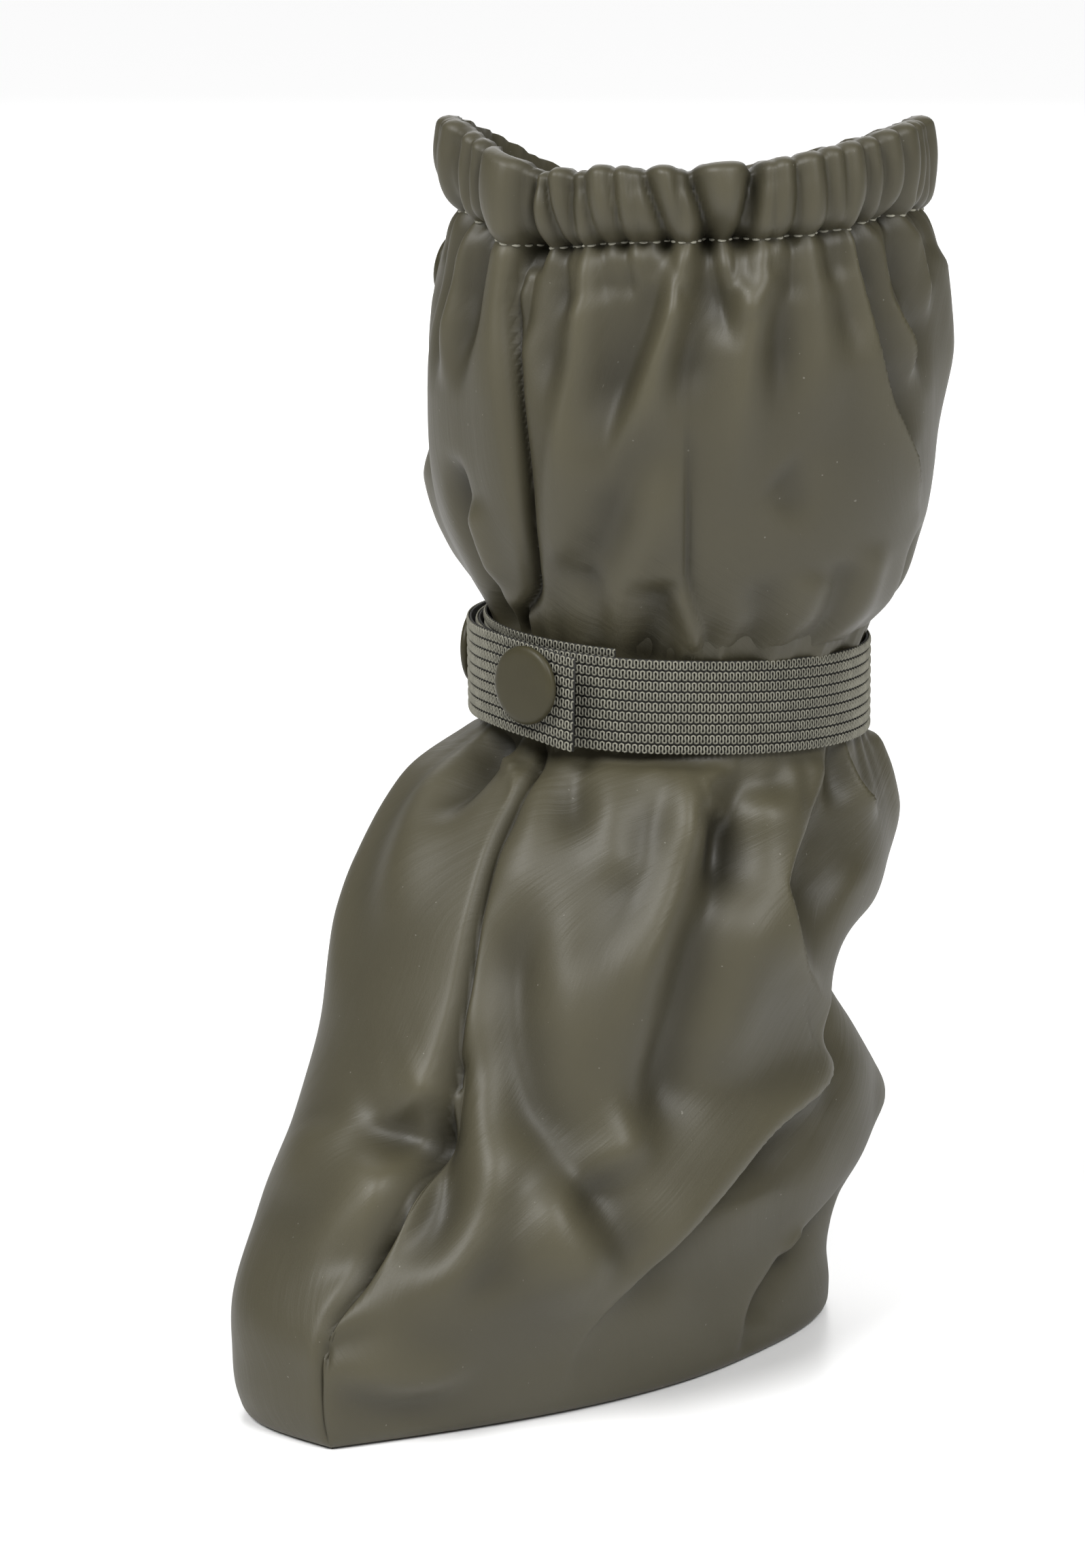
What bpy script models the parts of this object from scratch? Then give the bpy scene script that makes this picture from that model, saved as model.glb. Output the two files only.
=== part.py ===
"""A child's rain overshoe: a gathered bag of coated cloth on a flat sewn sole, held in at the ankle by an
elastic strap with press studs. Lengths are in metres. +Z is up, the toe points along -Y and the wearer's
left side, which is the outer side of this left shoe, along +X. The origin is the middle of the sole's underside."""

import math

import bmesh
import bpy
import numpy as np
from mathutils import Matrix, Vector

# Main sizes
SOLE_LENGTH = 0.150
TOE_TO_SHAFT = 0.122
SOLE_THICKNESS = 0.0012
CLOTH = 0.0008
HEM_DEPTH = 0.0034
GAP = 0.0003
STITCH_HEIGHT = 0.2368
RIM_HEIGHT = 0.2550
STRAP_HEIGHT = 0.1415
STRAP_WIDTH = 0.0200
STRAP_THICKNESS = 0.0013
BACKING_THICKNESS = 0.0010
CAP_DIAMETER = 0.0165

SHAFT_Y = TOE_TO_SHAFT - SOLE_LENGTH / 2

# The bag's level sections. Toe and heel are reaches from the shaft's axis, lateral and medial the half
# widths, widest the distance of the greatest width ahead of the axis and seam the front seam's shift to the
# outer side. Bow says how pointed the outer front is, and the two fullness columns how square a corner is.
SECTION_COLUMNS = (
    "height", "toe", "heel", "lateral", "medial", "widest", "seam", "bow", "medial_full", "heel_full",
)
SECTIONS = (
    (0.0005, 0.1225, 0.0265, 0.0395, 0.0360, 0.027, 0.0045, 0.95, 4.0, 2.9),
    (0.0060, 0.1240, 0.0268, 0.0405, 0.0375, 0.028, 0.0045, 0.90, 4.0, 2.8),
    (0.0140, 0.1245, 0.0275, 0.0415, 0.0390, 0.031, 0.0045, 0.80, 3.8, 2.6),
    (0.0240, 0.1235, 0.0360, 0.0430, 0.0410, 0.037, 0.0045, 0.58, 3.5, 2.4),
    (0.0370, 0.1150, 0.0470, 0.0485, 0.0440, 0.036, 0.0080, 0.28, 3.3, 2.2),
    (0.0500, 0.1045, 0.0455, 0.0480, 0.0470, 0.028, 0.0105, 0.15, 3.1, 2.2),
    (0.0680, 0.0925, 0.0350, 0.0435, 0.0480, 0.020, 0.0090, 0.00, 3.1, 2.2),
    (0.0860, 0.0830, 0.0400, 0.0460, 0.0480, 0.012, 0.0065, 0.00, 3.0, 2.1),
    (0.1020, 0.0740, 0.0470, 0.0475, 0.0480, 0.006, 0.0035, 0.00, 2.8, 2.0),
    (0.1175, 0.0610, 0.0450, 0.0450, 0.0440, 0.003, 0.0010, 0.00, 2.5, 2.0),
    (0.1305, 0.0450, 0.0400, 0.0405, 0.0360, 0.000, 0.0000, 0.00, 2.0, 2.0),
    (0.1415, 0.0430, 0.0390, 0.0395, 0.0345, 0.000, 0.0000, 0.00, 2.0, 2.0),
    (0.1525, 0.0440, 0.0405, 0.0405, 0.0370, 0.000, 0.0000, 0.00, 2.0, 2.0),
    (0.1610, 0.0470, 0.0482, 0.0478, 0.0428, 0.000, 0.0000, 0.00, 2.0, 2.0),
    (0.1715, 0.0510, 0.0522, 0.0515, 0.0490, 0.000, 0.0000, 0.00, 2.0, 2.0),
    (0.2050, 0.0545, 0.0560, 0.0550, 0.0545, 0.000, 0.0000, 0.00, 2.0, 2.0),
    (0.2368, 0.0515, 0.0535, 0.0525, 0.0510, 0.000, 0.0000, 0.00, 2.0, 2.0),
    (0.2550, 0.0515, 0.0540, 0.0525, 0.0510, 0.000, 0.0000, 0.00, 2.0, 2.0),
)


def column(table, columns, name):
    """One named column of a table, as an array."""
    return np.array([row[columns.index(name)] for row in table])


def ease(low, high, value):
    """A smooth step from 0 at low to 1 at high."""
    t = np.clip((value - low) / (high - low), 0.0, 1.0)
    return t * t * (3 - 2 * t)


def smooth_through(knots, values, wanted):
    """A smooth curve through the values at the knots, read at the wanted places."""
    slopes = np.gradient(values, knots)
    place = np.clip(np.searchsorted(knots, wanted, side="right") - 1, 0, len(knots) - 2)
    span = knots[place + 1] - knots[place]
    t = np.clip((wanted - knots[place]) / span, 0.0, 1.0)
    start = values[place] * (1 + 2 * t) * (1 - t) ** 2 + slopes[place] * span * t * (1 - t) ** 2
    end = values[place + 1] * t**2 * (3 - 2 * t) - slopes[place + 1] * span * t**2 * (1 - t)
    return start + end


def section(height):
    """The level section at one height, by column name."""
    heights = column(SECTIONS, SECTION_COLUMNS, "height")
    return {
        name: float(smooth_through(heights, column(SECTIONS, SECTION_COLUMNS, name), np.array(height)))
        for name in SECTION_COLUMNS[1:]
    }


QUARTER_STEPS = 200


def quarter(seam, width, reach, fullness, bow):
    """A quarter of an outline from the seam to the side, as (sideways, ahead) from the place of greatest width."""
    turn = math.pi / 2 * ease(0.0, 1.0, np.linspace(0.0, 1.0, QUARTER_STEPS))
    round_end = np.cos(turn) ** (2 / fullness)
    round_end[-1] = 0.0
    ahead = reach * ((1 - bow) * round_end + bow * (1 - 2 * turn / math.pi))
    sideways = seam + (width - seam) * np.sin(turn) ** (2 / fullness)
    return sideways, ahead


def half_outline(form, side):
    """One side of a level outline from the front seam to the back seam, as (sideways, ahead)."""
    outer = side > 0
    width = form["lateral"] if outer else form["medial"]
    fullness = 2.0 if outer else form["medial_full"]
    bow = form["bow"] if outer else 0.0
    front_x, front_y = quarter(form["seam"] * side, width, form["toe"] - form["widest"], fullness, bow)
    back_x, back_y = quarter(0.0, width, form["heel"] + form["widest"], form["heel_full"], 0.0)
    sideways = np.concatenate((front_x, back_x[-2::-1]))
    ahead = form["widest"] + np.concatenate((front_y, -back_y[-2::-1]))
    return sideways, ahead


def outline(height, around):
    """Points of the level outline. Around is 0 at the front seam, 1 or -1 at the back seam, + on the outer side."""
    form = section(height)
    points = np.zeros((len(around), 2))
    for side in (1.0, -1.0):
        sideways, ahead = half_outline(form, side)
        steps = np.hypot(np.diff(sideways), np.diff(ahead))
        share = np.concatenate(([0.0], np.cumsum(steps))) / steps.sum()
        mine = around * side >= 0
        points[mine, 0] = side * np.interp(np.abs(around[mine]), share, sideways)
        points[mine, 1] = SHAFT_Y - np.interp(np.abs(around[mine]), share, ahead)
    return points


# Slow rises and dips of the levels: the collar tips towards the inner back, sags fore and aft and dips at the
# front seam, and the strap rises towards the inner front. Turns are in half turns from the toe, + on the outer side.
VIEW_TURN = 0.204
COLLAR_TILT = 0.0065
COLLAR_SADDLE = 0.0033
COLLAR_DIP = 0.0040
COLLAR_DIP_TURN = -0.020
COLLAR_DIP_SPREAD = 0.110
RIM_SADDLE = 0.0018
COLLAR_TILT_FROM = 0.1600
STRAP_TILT = 0.0030
STRAP_TILT_TURN = -0.167
STRAP_TILT_SPREAD = 0.035


def lift(height, around):
    """How far a level rises at each place around."""
    near = np.cos(math.pi * (around - VIEW_TURN))
    sag = np.cos(2 * math.pi * (around - VIEW_TURN))
    dip = COLLAR_DIP * np.exp(-(((around - COLLAR_DIP_TURN) / COLLAR_DIP_SPREAD) ** 2))
    collar = ease(COLLAR_TILT_FROM, STITCH_HEIGHT, height) * (COLLAR_TILT * near - COLLAR_SADDLE * sag - dip)
    rim = -ease(STITCH_HEIGHT, RIM_HEIGHT, height) * RIM_SADDLE * sag
    hold = np.exp(-(((height - STRAP_HEIGHT) / STRAP_TILT_SPREAD) ** 2))
    return collar + rim + hold * STRAP_TILT * np.cos(math.pi * (around - STRAP_TILT_TURN))


def bare_skin(heights, around):
    """The bag's outer form without folds: a grid of points, a row for each height."""
    rows = [np.column_stack((outline(h, around), h + lift(h, around))) for h in heights]
    return np.array(rows)


def skin_points(around, heights):
    """Single points of the bare form at paired places."""
    wrapped = (np.asarray(around) + 1) % 2 - 1
    return np.array([bare_skin([h], np.array([a]))[0, 0] for a, h in zip(wrapped, heights)])


def outward(grid):
    """Unit normals of a grid of points that closes on itself along each row."""
    along = np.roll(grid, -1, axis=1) - np.roll(grid, 1, axis=1)
    up = np.gradient(grid, axis=0)
    normals = np.cross(along, up)
    return normals / np.linalg.norm(normals, axis=2, keepdims=True)


# The main folds. Each runs along a path of places (around, height). Depth is + for a ridge and - for a trough.
# Step raises the right of the path, as seen from outside with the path running down, and lowers its left.
# Left and right are the flanks' widths, and the shares say how deep it still is at the path's two ends.
FOLD_COLUMNS = ("path", "depth", "step", "left", "right", "share_start", "share_end")
FOLDS = (
    # Front seam: a pleat below the strap and a shallow fold up the shaft
    (((0.0, 0.130), (0.0, 0.100), (0.0, 0.070), (-0.005, 0.045), (0.0, 0.026)),
     -0.0058, -0.0014, 0.0045, 0.0085, 0.5, 0.2),
    (((-0.005, 0.233), (-0.010, 0.215), (0.012, 0.190), (0.0, 0.152)), -0.0020, 0.0, 0.0035, 0.0080, 0.6, 0.6),
    # Outer side below the strap: a long puff, the troughs beside it and the broad face behind
    (((0.035, 0.112), (0.060, 0.095), (0.100, 0.078), (0.150, 0.060), (0.205, 0.0530)),
     -0.0024, 0.0, 0.0060, 0.0055, 0.2, 0.5),
    (((0.110, 0.118), (0.145, 0.103), (0.165, 0.085), (0.190, 0.066)), 0.0014, 0.0, 0.0055, 0.0055, 0.2, 0.2),
    (((0.240, 0.122), (0.238, 0.100), (0.235, 0.080), (0.222, 0.061)), 0.0026, 0.0, 0.0060, 0.0048, 0.3, 0.2),
    (((0.275, 0.120), (0.287, 0.105), (0.296, 0.090), (0.294, 0.075), (0.270, 0.060)),
     -0.0026, 0.0, 0.0045, 0.0075, 0.5, 0.1),
    (((0.400, 0.105), (0.425, 0.078), (0.440, 0.060)), 0.0020, 0.0, 0.0120, 0.0120, 0.0, 0.0),
    (((0.500, 0.130), (0.470, 0.114), (0.440, 0.104), (0.455, 0.095), (0.520, 0.079)),
     0.0022, 0.0, 0.0095, 0.0050, 0.4, 0.0),
    # Slouch folds: the notch behind, and the long lap that runs down to the forefoot
    (((0.660, 0.0800), (0.585, 0.0725), (0.545, 0.0650), (0.560, 0.0590)), -0.0042, 0.0, 0.0055, 0.0060, 1.0, 0.2),
    (((0.660, 0.0800), (0.820, 0.0760), (1.000, 0.0730)), -0.0030, 0.0, 0.0065, 0.0065, 0.9, 0.4),
    (((0.600, 0.0580), (0.470, 0.0530), (0.400, 0.0465), (0.335, 0.0375), (0.270, 0.0250), (0.225, 0.0120)),
     0.0, -0.0022, 0.0070, 0.0080, 0.7, 0.1),
    (((0.760, 0.0330), (0.680, 0.0270), (0.620, 0.0210), (0.580, 0.0120)), 0.0, -0.0014, 0.0055, 0.0055, 0.8, 0.0),
    # Forefoot: the wedge above the lap, the pocket beside the seam and the toe's upper edge
    (((0.140, 0.0545), (0.125, 0.0430), (0.100, 0.0330), (0.080, 0.0230)), 0.0, 0.0016, 0.0065, 0.0080, 0.3, 0.0),
    (((0.160, 0.0545), (0.215, 0.0420), (0.262, 0.0335)), 0.0, -0.0016, 0.0070, 0.0060, 0.3, 0.3),
    (((0.030, 0.0580), (0.045, 0.0460), (0.035, 0.0360)), -0.0026, 0.0, 0.0060, 0.0060, 0.0, 0.0),
    # Inner panel beside the front seam
    (((-0.100, 0.0610), (-0.050, 0.0670), (-0.010, 0.0730)), 0.0, 0.0016, 0.0070, 0.0070, 0.2, 0.5),
    (((-0.085, 0.0610), (-0.050, 0.0510), (-0.045, 0.0430), (-0.065, 0.0330)), 0.0016, 0.0, 0.0070, 0.0040, 0.5, 0.0),
    # Shaft, outer side
    (((0.430, 0.2340), (0.455, 0.2180), (0.500, 0.2000), (0.560, 0.1800)), 0.0014, 0.0, 0.0060, 0.0045, 0.5, 0.2),
    (((0.205, 0.2330), (0.195, 0.2260), (0.165, 0.2170), (0.120, 0.2050)), 0.0012, 0.0, 0.0045, 0.0070, 0.8, 0.0),
    (((0.155, 0.1950), (0.135, 0.1850), (0.115, 0.1700), (0.105, 0.1580)), 0.0014, 0.0, 0.0070, 0.0045, 0.0, 0.6),
    (((0.345, 0.2340), (0.350, 0.2220), (0.370, 0.2080)), -0.0014, 0.0, 0.0055, 0.0055, 1.0, 0.0),
    (((0.800, 0.2340), (0.810, 0.2000), (0.850, 0.1560)), -0.0022, 0.0, 0.0075, 0.0075, 0.7, 0.5),
    # Shaft, inner side
    (((-0.110, 0.2340), (-0.100, 0.1990), (-0.110, 0.1580)), -0.0016, 0.0, 0.0060, 0.0060, 0.6, 0.6),
    (((-0.270, 0.2340), (-0.285, 0.2050), (-0.300, 0.1700)), -0.0020, 0.0, 0.0070, 0.0070, 0.8, 0.2),
    (((-0.580, 0.2340), (-0.590, 0.1950), (-0.560, 0.1560)), -0.0024, 0.0, 0.0080, 0.0080, 0.6, 0.6),
    (((-0.760, 0.2340), (-0.740, 0.2100), (-0.750, 0.1800)), -0.0020, 0.0, 0.0070, 0.0070, 0.8, 0.0),
    # Inner side below the strap
    (((-0.480, 0.1300), (-0.440, 0.0950), (-0.360, 0.0450)), -0.0030, 0.0, 0.0085, 0.0085, 0.6, 0.0),
    (((-0.300, 0.1300), (-0.260, 0.1000), (-0.200, 0.0700)), 0.0018, 0.0, 0.0085, 0.0085, 0.2, 0.0),
    (((-0.640, 0.1300), (-0.600, 0.1000), (-0.560, 0.0550)), 0.0028, 0.0, 0.0090, 0.0090, 0.3, 0.0),
    (((-0.480, 0.0690), (-0.700, 0.0710), (-1.000, 0.0730)), -0.0032, 0.0, 0.0065, 0.0065, 0.0, 0.4),
    (((-0.600, 0.0300), (-0.480, 0.0330), (-0.330, 0.0220)), -0.0022, 0.0, 0.0065, 0.0065, 0.0, 0.0),
)
PATH_STEPS = 60
FADE_IN = 0.25
FADE_OUT = 0.40
CREST = 1.5
REACHED = 3.5


def fold_path(path):
    """Points along a fold on the bare form, at equal steps of its course."""
    places = np.array(path)
    knots = np.arange(len(places), dtype=float)
    wanted = np.linspace(0.0, knots[-1], PATH_STEPS)
    around, heights = (smooth_through(knots, places[:, k], wanted) for k in (0, 1))
    return skin_points(around, heights)


def fold_relief(fold, points, normals):
    """How far one fold raises each of the points."""
    row = dict(zip(FOLD_COLUMNS, fold))
    path = fold_path(row["path"])
    margin = REACHED * max(row["left"], row["right"])
    relief = np.zeros(len(points))
    near = np.all((points > path.min(axis=0) - margin) & (points < path.max(axis=0) + margin), axis=1)
    apart = np.linalg.norm(points[near][:, None, :] - path[None, :, :], axis=2)
    nearest = apart.argmin(axis=1)
    along = np.gradient(path, axis=0)[nearest]
    right = (np.cross(normals[near], along) * (points[near] - path[nearest])).sum(axis=1) > 0
    distance = apart.min(axis=1) / np.where(right, row["right"], row["left"])
    course = nearest / (PATH_STEPS - 1)
    rising = row["share_start"] + (1 - row["share_start"]) * ease(0.0, FADE_IN, course)
    falling = row["share_end"] + (1 - row["share_end"]) * ease(0.0, FADE_OUT, 1 - course)
    crest = row["depth"] * np.exp(-(distance**CREST))
    step = row["step"] * np.where(right, 1.0, -1.0) * np.tanh(2 * distance) * np.exp(-distance)
    relief[near] = rising * falling * (crest + step)
    return relief


# Gathers: even waves drawn in by the elastic at the collar and by the strap
COLLAR_LOBES = 28
COLLAR_LOBE_DEPTH = 0.0013
COLLAR_GATHER_FADE = 0.020
HEM_PUFF = 0.0014
STRAP_LOBES = 21
STRAP_LOBE_DEPTH = 0.0014
STRAP_GATHER_FADE = 0.022
STRAP_HOLD = 0.0130
GROUND_HOLD = 0.0080


def gather_relief(heights, around):
    """The waves of the gathered cloth over the whole grid."""
    h = np.asarray(heights)[:, None]
    lobes = 0.5 - 0.5 * np.cos(math.pi * COLLAR_LOBES * around)
    below = np.exp(-np.clip(STITCH_HEIGHT - h, 0.0, None) / COLLAR_GATHER_FADE)
    collar = -COLLAR_LOBE_DEPTH * below * lobes
    tunnel = np.clip((h - STITCH_HEIGHT) / (RIM_HEIGHT - STITCH_HEIGHT), 0.0, 1.0)
    puff = HEM_PUFF * np.sqrt(np.clip(tunnel * (1 - tunnel) * 4, 0.0, 1.0))
    waves = 0.5 - 0.5 * np.cos(math.pi * STRAP_LOBES * around)
    off = np.clip(np.abs(h - STRAP_HEIGHT) - STRAP_WIDTH / 2, 0.0, None)
    return collar + puff - STRAP_LOBE_DEPTH * np.exp(-off / STRAP_GATHER_FADE) * waves


# The pairing snap sits on a flat spot of the inner side, under the collar
PAIR_AROUND = -0.430
PAIR_HEIGHT = 0.2250
PAIR_FLAT = 0.0110


def relief_of(heights, around, grid, normals):
    """Folds and gathers together: nothing stands out under the strap, at the ground or under the pairing snap."""
    relief = gather_relief(heights, around)
    for fold in FOLDS:
        relief = relief + fold_relief(fold, grid.reshape(-1, 3), normals.reshape(-1, 3)).reshape(relief.shape)
    h = np.asarray(heights)[:, None]
    held = 1 - ease(STRAP_HOLD, STRAP_HOLD + 0.006, np.abs(h - STRAP_HEIGHT))
    relief = (1 - held) * relief + held * np.minimum(relief, 0.0)
    spot = skin_points([PAIR_AROUND], [PAIR_HEIGHT])[0]
    near = np.linalg.norm(grid - spot, axis=2)
    relief = relief * ease(0.8 * PAIR_FLAT, 1.6 * PAIR_FLAT, near)
    return relief * ease(0.0, GROUND_HOLD, h)


def wall_depth(heights):
    """The wall's thickness at each height: cloth, then the folded hem with its elastic."""
    return CLOTH + (HEM_DEPTH - CLOTH) * ease(STITCH_HEIGHT - 0.001, STITCH_HEIGHT + 0.003, np.asarray(heights))


def mesh_object(name, points, faces, colour, roughness, metallic=0.0):
    """A named closed mesh in metres, with its own plain material."""
    mesh = bpy.data.meshes.new(name)
    mesh.from_pydata([tuple(p) for p in points], [], faces)
    shaped = bmesh.new()
    shaped.from_mesh(mesh)
    bmesh.ops.recalc_face_normals(shaped, faces=shaped.faces)
    shaped.to_mesh(mesh)
    shaped.free()
    material = bpy.data.materials.new(name + "_finish")
    material.use_nodes = True
    shader = material.node_tree.nodes["Principled BSDF"]
    shader.inputs["Base Color"].default_value = (*colour, 1.0)
    shader.inputs["Roughness"].default_value = roughness
    shader.inputs["Metallic"].default_value = metallic
    mesh.materials.append(material)
    made = bpy.data.objects.new(name, mesh)
    bpy.context.scene.collection.objects.link(made)
    return made


def ring_faces(rings, count, closed):
    """Quads between rings of points; a closed tube also joins its last ring to its first."""
    faces = []
    for ring in range(rings if closed else rings - 1):
        low, high = ring * count, (ring + 1) % rings * count
        for k in range(count):
            after = (k + 1) % count
            faces.append((low + k, low + after, high + after, high + k))
    return faces


# Colours as linear light, from the photograph
OLIVE = (0.076, 0.069, 0.042)
SOLE_OLIVE = (0.055, 0.050, 0.032)
KNIT_GREY = (0.140, 0.140, 0.110)
SNAP_OLIVE = (0.090, 0.078, 0.045)
SNAP_DARK = (0.050, 0.045, 0.030)

AROUND_STEPS = 84
ROW_HEIGHTS = (
    0.0005, 0.0050, 0.0150, 0.0260, 0.0350, 0.0440, 0.0540, 0.0640, 0.0740, 0.0850, 0.0960, 0.1070,
    0.1200, 0.1315, 0.1415, 0.1515, 0.1532, 0.1615, 0.1725, 0.1870, 0.2050, 0.2200, 0.2290, 0.2348, 0.2372,
    0.2420, 0.2480, 0.2530,
)


def around_steps(count):
    """Equal steps around the whole bag, beginning at the front seam."""
    return (np.arange(count) * 2 / count + 1) % 2 - 1


def build_upper():
    """The bag: outer skin up to the rim, over the crown and down the inside to the bottom edge."""
    around = around_steps(AROUND_STEPS)
    grid = bare_skin(ROW_HEIGHTS, around)
    normals = outward(grid)
    skin = grid + normals * relief_of(ROW_HEIGHTS, around, grid, normals)[:, :, None]
    inward = outward(skin)
    inside = skin - inward * wall_depth(ROW_HEIGHTS)[:, None, None]
    crown = (skin[-1] + inside[-1]) / 2
    crown[:, 2] += RIM_HEIGHT - ROW_HEIGHTS[-1]
    rings = np.concatenate((skin, crown[None], inside[::-1]))
    faces = ring_faces(len(rings), AROUND_STEPS, True)
    return mesh_object("upper", rings.reshape(-1, 3), faces, OLIVE, 0.45)


def build_sole():
    """The flat sewn sole, which fills the bag's bottom opening."""
    around = around_steps(AROUND_STEPS)
    edge = outline(ROW_HEIGHTS[0], around)
    grid = np.stack([np.column_stack((edge, np.full(len(edge), z))) for z in (0.0, 1.0)])
    level = grid[0] - outward(grid)[0] * (CLOTH + 2 * GAP)
    rings = np.stack((level, level))
    rings[1, :, 2] = SOLE_THICKNESS
    count = len(around)
    faces = ring_faces(2, count, False)
    faces += [tuple(range(count - 1, -1, -1)), tuple(range(count, 2 * count))]
    return mesh_object("sole", rings.reshape(-1, 3), faces, SOLE_OLIVE, 0.65)


# The strap's runs. Turn counts half turns on from the front seam, offset is how far the inner face stands off
# the bag, and drop how far the band sits below the strap's own level there.
RUN_COLUMNS = ("turn", "offset", "drop")
STRAP_RUN = (
    (-0.420, 0.0024, 0.0),
    (-0.200, 0.0024, 0.0),
    (0.128, 0.0024, 0.0),
    (0.260, 0.0003, 0.0),
    (0.700, 0.0003, 0.0),
    (1.300, 0.0003, 0.0),
    (1.480, 0.0022, 0.0),
    (1.580, 0.0042, 0.0),
    (1.780, 0.0043, -0.0006),
    (1.930, 0.0060, -0.0018),
    (2.006, 0.0071, -0.0016),
    (2.075, 0.0082, -0.0002),
)
BACKING_RUN = (
    (-0.440, 0.0005, 0.0),
    (-0.100, 0.0005, 0.0),
    (0.118, 0.0005, 0.0),
)
BACKING_RAISED = 0.0015
STRAP_STEP = 0.030
FRONT_CAP_TURN = 2.006
SIDE_CAP_TURN = 1.625


def band_section(run, turns, thickness, middle):
    """The four edges of a band at each turn: inner low, outer low, outer high and inner high."""
    knots = column(run, RUN_COLUMNS, "turn")
    offset = np.interp(turns, knots, column(run, RUN_COLUMNS, "offset"))
    drop = np.interp(turns, knots, column(run, RUN_COLUMNS, "drop"))
    around = (turns + 1) % 2 - 1
    edges = {}
    for part, height in (("low", middle - STRAP_WIDTH / 2), ("high", middle + STRAP_WIDTH / 2)):
        level = outline(height, around)
        ahead = outline(height, (around + 0.004 + 1) % 2 - 1) - outline(height, (around - 0.004 + 1) % 2 - 1)
        away = np.column_stack((ahead[:, 1], -ahead[:, 0]))
        away /= np.linalg.norm(away, axis=1, keepdims=True)
        z = height + lift(height, around) - drop
        for face, stand in (("inner", offset), ("outer", offset + thickness)):
            edges[face, part] = np.column_stack((level + away * stand[:, None], z))
    order = (("inner", "low"), ("outer", "low"), ("outer", "high"), ("inner", "high"))
    return np.stack([edges[key] for key in order], axis=1)


def build_band(name, run, thickness, middle):
    """A band along its run, with flat ends."""
    turns = np.linspace(run[0][0], run[-1][0], 1 + round((run[-1][0] - run[0][0]) / STRAP_STEP))
    rings = band_section(run, turns, thickness, middle)
    last = 4 * (len(turns) - 1)
    faces = ring_faces(len(turns), 4, False) + [(3, 2, 1, 0), (last, last + 1, last + 2, last + 3)]
    return mesh_object(name, rings.reshape(-1, 3), faces, KNIT_GREY, 0.85)


def band_frame(turn):
    """A place on the strap: the middle of its outer face there and the frame that looks out from it."""
    turns = np.array([turn - 0.05, turn, turn + 0.05])
    edges = band_section(STRAP_RUN, turns, STRAP_THICKNESS, STRAP_HEIGHT)
    middle = edges[:, 1:3].mean(axis=1)
    rise = edges[1]
    along = Vector(middle[2] - middle[0]).normalized()
    up = Vector(rise[2] - rise[1]).normalized()
    out = along.cross(up).normalized()
    return Vector(middle[1]), Matrix((along, out.cross(along), out)).transposed()


TURNED_STEPS = 24


def build_turned(name, profile, place, frame, colour, roughness):
    """A turned piece: the profile's (radius, height) points, first and last on the axis, swept about it."""
    points = [place + frame @ Vector((0.0, 0.0, profile[0][1]))]
    for radius, height in profile[1:-1]:
        for k in range(TURNED_STEPS):
            angle = 2 * math.pi * k / TURNED_STEPS
            spoke = Vector((radius * math.cos(angle), radius * math.sin(angle), height))
            points.append(place + frame @ spoke)
    points.append(place + frame @ Vector((0.0, 0.0, profile[-1][1])))
    rings = len(profile) - 2
    faces = [tuple(i + 1 for i in face) for face in ring_faces(rings, TURNED_STEPS, False)]
    end, start = len(points) - 1, 1 + (rings - 1) * TURNED_STEPS
    for k in range(TURNED_STEPS):
        after = (k + 1) % TURNED_STEPS
        faces += [(0, 1 + after, 1 + k), (end, start + k, start + after)]
    return mesh_object(name, points, faces, colour, roughness)


CAP_RADIUS = CAP_DIAMETER / 2
CAP_PROFILE = (
    (0.0, GAP),
    (CAP_RADIUS - 0.0006, GAP),
    (CAP_RADIUS, GAP + 0.0006),
    (CAP_RADIUS - 0.0001, GAP + 0.0013),
    (CAP_RADIUS - 0.0007, GAP + 0.0019),
    (CAP_RADIUS - 0.0018, GAP + 0.0021),
    (0.0, GAP + 0.0023),
)
STUD_RADIUS = 0.0073
STUD_PROFILE = (
    (0.0, 0.0),
    (STUD_RADIUS - 0.0003, 0.0),
    (STUD_RADIUS, 0.0003),
    (STUD_RADIUS, 0.0011),
    (STUD_RADIUS - 0.0004, 0.0014),
    (0.0, 0.0014),
)
STUD_DEPTH = 0.0036
CAP_RAISED = 0.0016
PAIR_RADIUS = 0.0072
PAIR_HOLE = 0.0047
PAIR_PROFILE = (
    (0.0, GAP),
    (PAIR_RADIUS, GAP),
    (PAIR_RADIUS, GAP + 0.0012),
    (PAIR_RADIUS - 0.0006, GAP + 0.0020),
    (PAIR_HOLE + 0.0008, GAP + 0.0022),
    (PAIR_HOLE, GAP + 0.0016),
    (PAIR_HOLE - 0.0002, GAP + 0.0008),
    (0.0, GAP + 0.0008),
)
PAIR_STUD_PROFILE = (
    (0.0, 2 * GAP + 0.0008),
    (0.0022, 2 * GAP + 0.0008),
    (0.0022, 2 * GAP + 0.0018),
    (0.0016, 2 * GAP + 0.0023),
    (0.0, 2 * GAP + 0.0024),
)


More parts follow.
